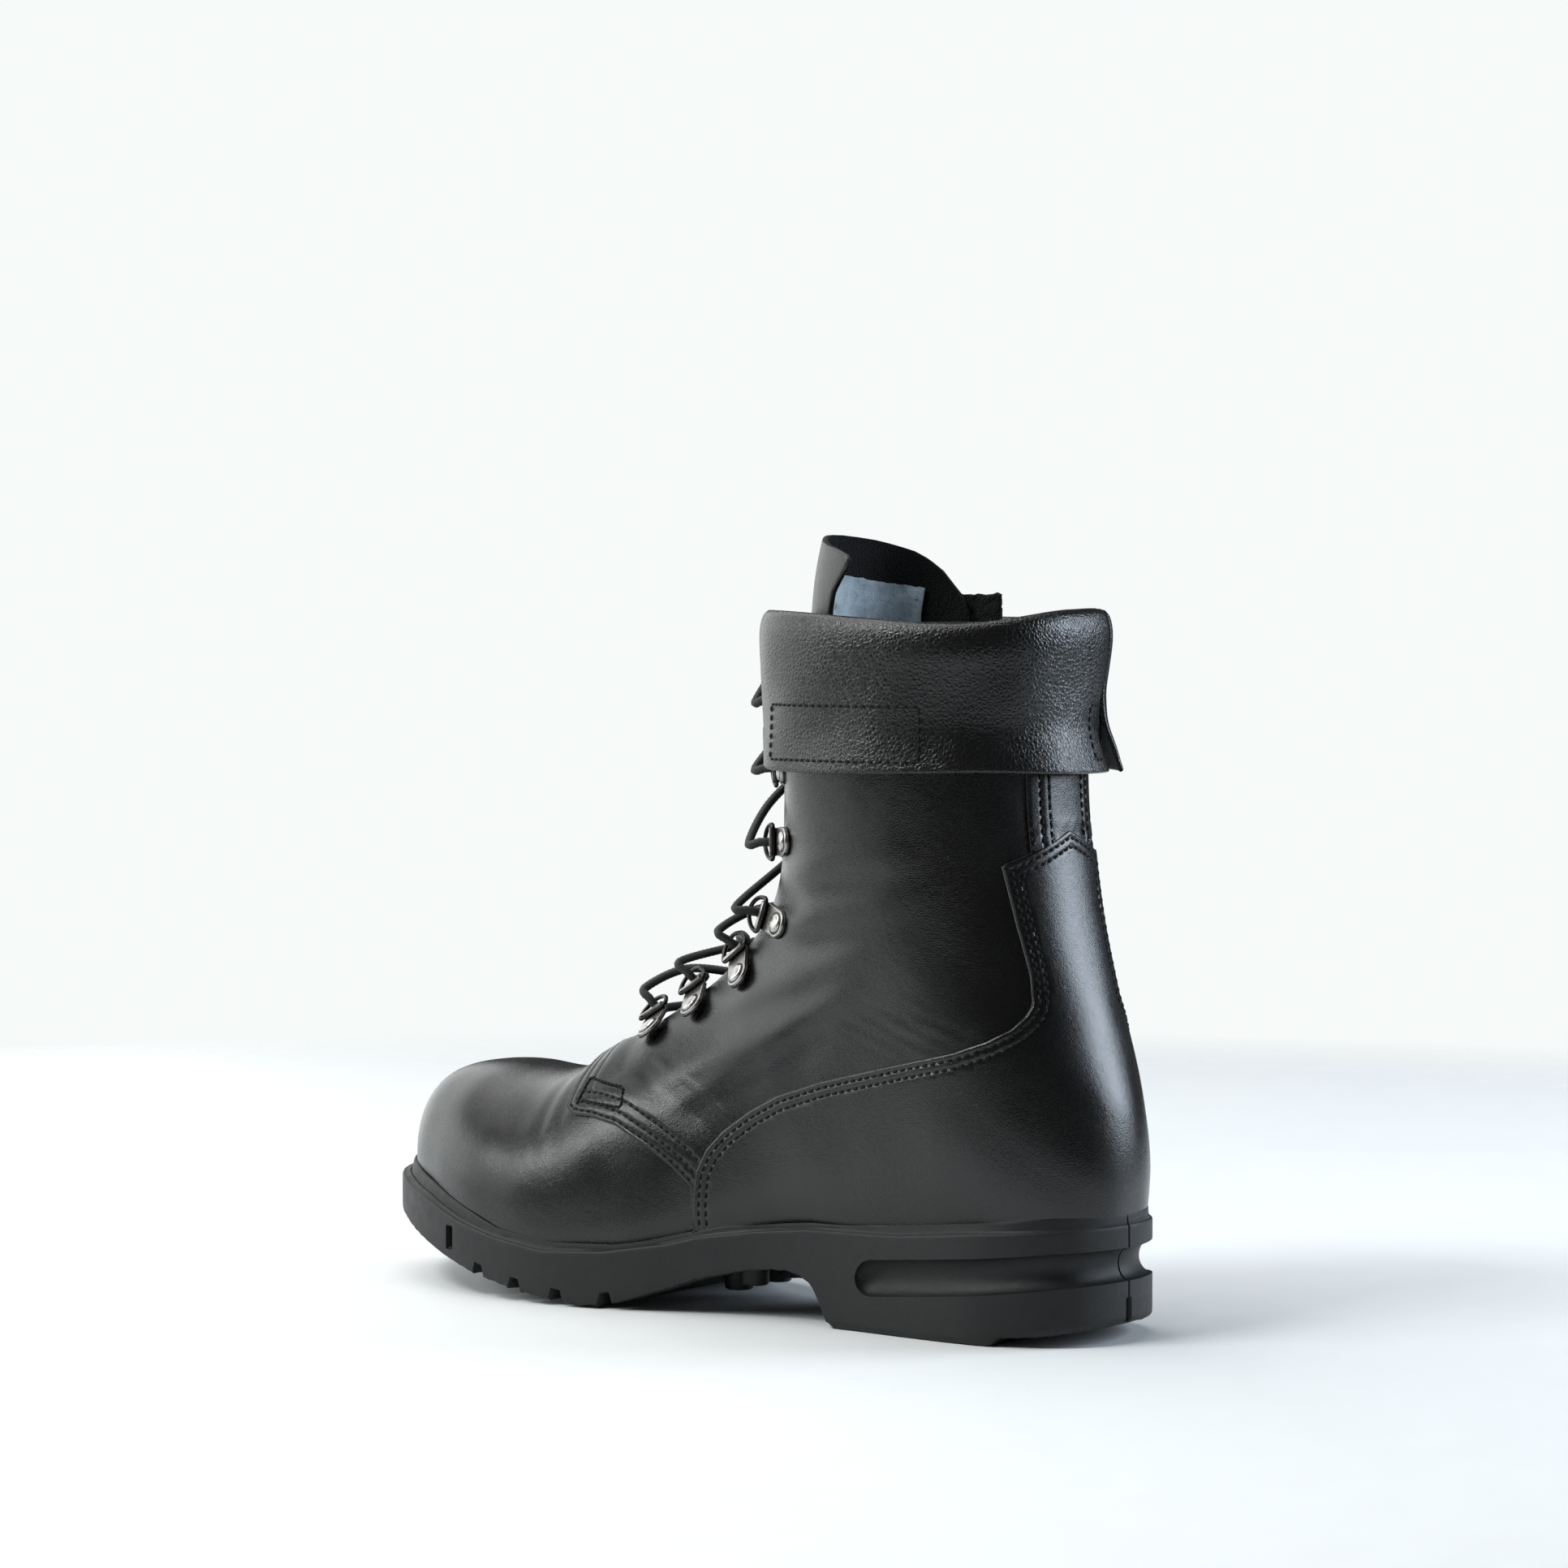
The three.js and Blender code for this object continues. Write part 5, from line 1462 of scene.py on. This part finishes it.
# ---------------------------------------------------------------- tongue
TONGUE_EDGES = [  # above the collar: [up, medial angle, lateral angle]
    [0, -1.25, 1.08], [7, -1.16, 1.10], [15, -0.98, 1.22], [19, -0.84, 1.24], [21.5, -0.70, 1.05],
    [23.5, -0.5, 0.76], [25, -0.26, 0.54], [26, 0.0, 0.40], [26.3, 0.12, 0.28],
]
TONGUE_HALF = 1.02  # half its width under the lacing, as an angle
TONGUE_WIDENS = [17, 21]  # the rings between which its edges spread to their width at the collar
TONGUE_SINKS = [15, 21]  # the rings between which it leans back from the lacing
TONGUE_SINK = 6.5
TONGUE_LEAN = 0.18
FELT_ANGLES = (-0.84, 1.04)
FELT_TOP = (9.0, 17.5)
FELT_COLUMNS = 40


def tongue_edges(position, up):
    """The angles of its medial and lateral edges."""
    table = np.array(TONGUE_EDGES)
    if up > 0:
        return table_at(table[:, [0, 1]], up), table_at(table[:, [0, 2]], up)
    half = TONGUE_HALF * (0.72 + 0.28 * smoothstep(position, 6, 11))
    wide = smoothstep(position, *TONGUE_WIDENS)
    return -half + (table[0, 1] + TONGUE_HALF) * wide, half + (table[0, 2] - TONGUE_HALF) * wide


def tongue_point(position, phi, up, distance):
    """Points of the tongue at ring positions, angles and heights above the top ring."""
    p, n = last_frame(position, phi)
    back = TONGUE_SINK * smoothstep(position, *TONGUE_SINKS) + TONGUE_LEAN * up
    rise = np.stack([up * 0, back, up], -1)
    return p + n * (distance + 0.6 * np.sin(up * 0.12))[:, None] + rise, n


def stacked(rows):
    """Points and normals as two grids, from a pair for each row."""
    return tuple(np.array(part) for part in zip(*rows))


def build_tongue():
    top = len(LAST) - 1 - NOSE_RINGS
    ups = [*np.arange(1.5, 21, 1.5), 21.5, 22.8, 24.0, 25.0, 25.7, 26.1, 26.3]
    stations = [(position, 0) for position in np.arange(5.6, top + 0.1, 0.2)] + [(top, up) for up in ups]
    columns = 60
    rows = []
    for position, up in stations:
        phi = np.linspace(*tongue_edges(position, up), columns)
        rows.append(tongue_point(np.full(columns, position), phi, np.full(columns, float(up)), -7.5))
    sheet_piece("tongue_leather", "tongue", *stacked(rows), 2.0, [SOFT_GRAIN, PILE], "soft_leather", sharp=50)
    build_felt(top)
    build_gussets()


def build_felt(top):
    """The felt pad on the tongue's inner face, its top edge falling towards the medial side."""
    rng = np.random.default_rng(8)
    phi = np.linspace(*FELT_ANGLES, FELT_COLUMNS)
    reach = np.linspace(*FELT_TOP, FELT_COLUMNS) + rng.uniform(-0.3, 0.3, FELT_COLUMNS)
    stations = [(position, 0.0) for position in np.arange(top - 4, top, 0.25)]
    stations += [(float(top), share) for share in np.linspace(0, 1, 16)]
    points, normals = stacked([tongue_point(np.full(FELT_COLUMNS, position), phi, reach * share, -9.2)
                               for position, share in stations])
    points = points - normals * rng.uniform(-0.12, 0.12, points.shape[:2])[..., None]
    sheet_piece("felt_pad", "tongue_felt_patch", points, normals, 0.9, [FELT], "felt")


def build_gussets():
    """The folds that close the gap between the tongue and the quarters."""
    columns = 10
    bulge = 0.5 * np.sin(np.linspace(0, math.pi, columns))
    for name, side in SIDES:
        phi = side * np.linspace(0.72, 1.08, columns)
        rows = []
        for position in np.arange(11.2, 19.1, 0.25):
            p, n = last_frame(np.full(columns, position), phi)
            rows.append((p + n * (-5.0 + bulge + 0.2 * math.sin(position * 2.2))[:, None], n))
        sheet_piece("gusset_fold_" + name, "tongue_gusset_" + name, *stacked(rows), 1.2, [SOFT_GRAIN],
                    "soft_leather")


# ---------------------------------------------------------------- eyelets
def eyelet_frames():
    """Each D-ring's hinge and axes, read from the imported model's joints."""
    frames = {}
    for joint in frame["joints"]:
        node = joint["child"]
        bar = np.array(joint["pos_m"]) / MM
        axis = unit(np.array(joint["axis"]))
        low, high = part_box(node)
        middle = (np.array(low) + np.array(high)) / 2 / MM
        reach = middle - bar
        ring_x = unit(reach - axis * (reach @ axis))
        ring_z = np.cross(ring_x, axis)
        outward = bar - np.array([CENTRE_X, SOLE_LENGTH / 2 - 90, 90.0])
        ring_z *= np.sign(ring_z @ outward)
        inward = unit(ring_x * math.cos(RING_TILT) - ring_z * math.sin(RING_TILT))
        normal = unit(ring_x * math.sin(RING_TILT) + ring_z * math.cos(RING_TILT))
        frames[node] = {"bar": bar, "ring_x": ring_x, "ring_z": ring_z, "inward": inward, "normal": normal,
                        "rivet": bar - inward * CLIP_REACH - normal * BAR_LIFT}
    return frames


def outline_plate():
    """A clip's outline: a round end about the rivet and straight sides to the fold."""
    angles = np.linspace(math.pi / 2 - 0.2, 3 * math.pi / 2 + 0.2, 26)
    end = CLIP_HALF * np.stack([np.cos(angles), np.sin(angles)], -1)
    sides = [[2.5, -CLIP_HALF], [8.6, -CLIP_HALF], [8.6, CLIP_HALF], [2.5, CLIP_HALF]]
    return np.vstack([end, sides])


def plate_solid(outline, bottom, top, bevel):
    """A flat plate with a bevelled upper edge, as vertices and faces in the clip's axes."""
    towards = unit(outline.mean(0) - outline)
    rings = [(outline, bottom), (outline, top - bevel),
             (outline + towards * bevel * 0.35, top - bevel * 0.35),
             (outline + towards * bevel, top), (outline + towards * bevel * 3, top)]
    vertices = np.vstack([np.column_stack([loop, np.full(len(loop), z)]) for loop, z in rings])
    return vertices, tube_faces(len(rings), len(outline))


def turned(profile, sides):
    """A shape turned about z from [radius, z] rows; the last row is on the axis."""
    cos, sin = circle(sides)
    rings = [np.stack([radius * cos, radius * sin, np.full(sides, z)], -1) for radius, z in profile[:-1]]
    vertices = np.vstack([*rings, [[0, 0, profile[-1][1]]]])
    faces = grid_quads(len(rings), sides).tolist()
    start = (len(rings) - 1) * sides
    faces += [[start + j, start + (j + 1) % sides, len(vertices) - 1] for j in range(sides)]
    return vertices, faces + [list(reversed(range(sides)))]


def fold_sleeve():
    """The fold of the plate round the ring's bar: a thick C open towards the leather."""
    angles = np.linspace(-0.62 * math.pi, 0.62 * math.pi, 22)
    outer = np.stack([8.9 + 1.95 * np.cos(angles), BAR_LIFT - 0.35 + 1.75 * np.sin(angles)], -1)
    inner = np.stack([8.9 + 1.1 * np.cos(angles), BAR_LIFT - 0.35 + 0.95 * np.sin(angles)], -1)
    section = np.vstack([outer, inner[::-1]])
    drawn_in = section + unit(section.mean(0) - section) * 0.064
    vertices = []
    for y, loop in ((-CLIP_HALF, drawn_in), (0.25 - CLIP_HALF, section), (CLIP_HALF - 0.25, section),
                    (CLIP_HALF, drawn_in)):
        vertices += [[x, y, z] for x, z in loop]
    n = len(section)
    faces = grid_quads(4, n)[:, [0, 3, 2, 1]].tolist()
    for j in range(n // 2 - 1):
        end = [j, j + 1, n - 2 - j, n - 1 - j]
        faces += [end, [3 * n + i for i in reversed(end)]]
    return np.array(vertices), faces


def joined(parts):
    """One shape out of several, given as [kind, [vertices, faces]]."""
    vertices, faces, kinds = [], [], []
    count = 0
    for kind, (v, f) in parts:
        vertices.append(v)
        faces += [[i + count for i in face] for face in f]
        kinds += [kind] * len(f)
        count += len(v)
    return np.vstack(vertices), faces, kinds


def clip_shape():
    outline = outline_plate()
    lower = outline * [1.0, 1.05]
    lower[:, 0] = np.where(lower[:, 0] < 5, lower[:, 0] * 1.08, lower[:, 0])
    base = plate_solid(lower, 0.0, 0.6, 0.15)
    upper = plate_solid(outline, 0.62, 1.5, 0.3)
    rivet = turned([(3.35, 1.4), (3.35, 1.75), (3.15, 2.1), (2.6, 2.42), (1.8, 2.6), (0.9, 2.68), (0, 2.7)],
                   32)
    washer = turned([(3.85, 1.35), (3.85, 1.6), (3.7, 1.68), (0, 1.7)], 32)
    return joined([(1, base), (0, upper), (1, washer), (2, rivet), (0, fold_sleeve())])


RING_WIRE = 0.75


def ring_shape():
    """A D-ring's wire: a straight bar, round corners and a blunt nose."""
    side = [[0, 0.5], [0.1, 0.85], [0.9, 1.0], [2.4, 0.98], [4.6, 0.87], [6.7, 0.6], [8.05, 0.24]]
    knots = [[x, y * RING_HALF] for x, y in side] + [[8.4, 0]]
    knots += [[x, -y * RING_HALF] for x, y in reversed(side)]
    loop = even_curve(knots, 0.55, closed=True)
    tangent = unit(np.roll(loop, -1, axis=0) - np.roll(loop, 1, axis=0))
    across = np.stack([tangent[:, 1], -tangent[:, 0]], -1)
    sides = 12
    cos, sin = circle(sides)
    level = loop[:, None] + across[:, None] * (RING_WIRE * cos)[None, :, None]
    height = np.broadcast_to(RING_WIRE * sin, level.shape[:2])
    vertices = np.concatenate([level, height[..., None]], -1).reshape(-1, 3)
    return vertices, grid_quads(len(loop), sides, over=True)[:, [0, 3, 2, 1]].tolist()


def build_eyelets(frames):
    clip_points, clip_faces, clip_kinds = clip_shape()
    wire_points, wire_faces = ring_shape()
    for node, e in frames.items():
        axes = np.stack([e["inward"], np.cross(e["normal"], e["inward"]), e["normal"]])
        make_piece(node.replace("d_ring", "clip"), e["rivet"] + clip_points @ axes, clip_faces,
                   [NICKEL, DARK_METAL, RIVET_METAL], clip_kinds, sharp=40,
                   replaces=[node.replace("d_ring", "eyelet_clip")])
        axes = np.stack([e["ring_x"], np.cross(e["ring_z"], e["ring_x"]), e["ring_z"]])
        make_piece(node + "_wire", e["bar"] + wire_points @ axes, wire_faces, [DARK_METAL],
                   body=node, sharp=60, replaces=[node])


# ---------------------------------------------------------------- lace
def lace_route(frames):
    sides = [[frames[f"d_ring_{side}_{i}"] for i in range(1, 8)] for side in ("lateral", "medial")]

    def through(e, reach, distance):
        return e["bar"] + e["ring_x"] * reach + e["ring_z"] * distance

    def crossings(start, lift_by):
        points = []
        for i in range(7):
            here = sides[(start + i) % 2][i]
            points += [through(here, 4.8, -2.8), through(here, 4.8, 2.8)]
            leave = through(here, *OVER_NOSE)
            if i == 6:
                points.append(leave)
                break
            following = sides[(start + i + 1) % 2][i + 1]
            arrive = through(following, *UNDER_NOSE)
            out = here["normal"] + following["normal"]
            out[0] = 0
            points += [leave, (leave + arrive) / 2 + unit(out) * lift_by, arrive]
        return points

    def on_tongue(position, phi, distance):
        p, n = last_frame(np.array([float(position)]), np.array([phi]))
        return (p + n * distance)[0]

    def tail(side, turn):
        tucked = [on_tongue(t, -side * 0.07, -4.5) for t in (20.2, 19, 17.5, 16.2)]
        return [on_tongue(20 + turn, side * 0.05, 1.5)] + tucked

    first = crossings(0, LACE_OVER) + tail(1, 0.35)
    second = crossings(1, LACE_UNDER) + tail(-1, 0.05)
    bottom = [through(sides[k][0], *UNDER_NOSE) for k in (0, 1)]
    return np.array(first[::-1] + bottom + second)


def tube(path, radius, sides, relief):
    """A tube along an even path, its ends closed; relief moves the surface by angle and length."""
    tangents = unit(np.gradient(path, axis=0))
    side = unit(np.cross(tangents[0], UP + 0.1))
    cos, sin = circle(sides)
    turn = np.arange(sides) * 2 * math.pi / sides
    vertices = []
    for point, tangent, length in zip(path, tangents, walked(path)):
        side = unit(side - tangent * (side @ tangent))
        up = np.cross(tangent, side)
        r = radius + relief(turn, length)
        vertices.append(point + np.outer(cos * r, side) + np.outer(sin * r, up))
    return np.vstack(vertices), tube_faces(len(path), sides)


def braid(turn, length):
    """The low relief of the lace's crossing strands."""
    return 0.13 * np.sin(3 * turn + length * 2.1) * np.sin(3 * turn - length * 2.1)


def tip_relief(turn, length):
    return np.full(len(turn), -0.25) + 0.03 * math.sin(length * 5)


def build_lace(frames):
    path = even_curve(lace_route(frames), 0.55)
    vertices, faces = tube(path, LACE_RADIUS, 16, braid)
    make_piece("lace_cord", vertices, faces, [LACE], sharp=70, replaces=["lace"])
    for name, _ in SIDES:
        low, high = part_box("lace_tip_" + name)
        middle = (np.array(low) / MM + np.array(high) / MM) / 2
        end = min((path[0], path[-1]), key=lambda point: np.linalg.norm(point - middle))
        along = unit(middle - end)
        tip = even_curve([end, end + along * 7, end + along * TIP_LENGTH], 0.5)
        vertices, faces = tube(tip, LACE_RADIUS, 16, tip_relief)
        make_piece("aglet_" + name, vertices, faces, [AGLET], sharp=60,
                   replaces=["lace_tip_" + name])
    print("lace length mm", round(float(walked(path)[-1]), 1))


# ---------------------------------------------------------------- floor
def build_floor():
    """A round pale table top that fades into the backdrop."""
    sides = 96
    cos, sin = circle(sides)
    mesh = bpy.data.meshes.new("floor")
    rim = np.stack([cos, sin, np.zeros(sides)], -1) * FLOOR_RADIUS
    mesh.from_pydata(rim.tolist(), [], [list(range(sides))])
    mesh.materials.append(floor_material())
    add_object("floor", mesh)


# ---------------------------------------------------------------- the carried-over inner parts
def finish_inner_parts():
    looks = {
        "steel_midsole_plate": STEEL, "steel_toe_cap": STEEL, "insole_board": BOARD, "heel_counter": BOARD,
        "footbed": FOOTBED, "vamp_lining": LINING, "heel_grip_lining": GRIP,
    }
    for node, material in looks.items():
        mesh = frame["nodes"][node].data
        mesh.materials.clear()
        mesh.materials.append(material)


make_camera()
make_studio()

FULL_GRAIN = leather_material("full_grain_leather", 0.0028, 0.22, 1300.0, 0.00003)
SOFT_GRAIN = leather_material("soft_leather", 0.005, 0.33, 1100.0, 0.00004)
PEBBLED = leather_material("pebbled_leather", 0.0030, 0.25, 700.0, 0.00013, crease=0.7)
CUT_EDGE = suede_material("cut_edge", 0.045, (0.96, 1.0, 1.04), 0.7)
SUEDE_BLACK = suede_material("suede", 0.007)
FELT = felt_material()
PILE = pile_material()
LINING = textile_material("lining", 0.02)
GRIP = suede_material("heel_grip", 0.02)
FOOTBED = textile_material("footbed_cover", 0.03, 700.0)
BOARD = textile_material("fibre_board", 0.25, 500.0)
RUBBER = rubber_material()
NICKEL = metal_material("nickel_plate", 0.36, 0.30, (1.0, 0.95, 0.90))
RIVET_METAL = metal_material("rivet_head", 0.45, 0.26, (1.0, 0.97, 0.94))
DARK_METAL = metal_material("dark_plate", 0.045, 0.33, (1.0, 0.97, 0.94))
STEEL = metal_material("steel", 0.5, 0.4, (1.0, 1.0, 1.0))
THREAD = thread_material()
LACE = lace_material()
AGLET = rubber_material()

foxing_line = upper_fields()
eyelets = eyelet_frames()
build_lace(eyelets)
build_vamp()
for name, side in SIDES:
    build_quarter(name, side)
build_foxing()
build_backstay()
stitch_vamp_seam()
stitch_foxing(foxing_line)
stitch_backstay()
build_linings()
build_sole()
build_cuff()
build_tongue()
build_eyelets(eyelets)
finish_inner_parts()
build_floor()
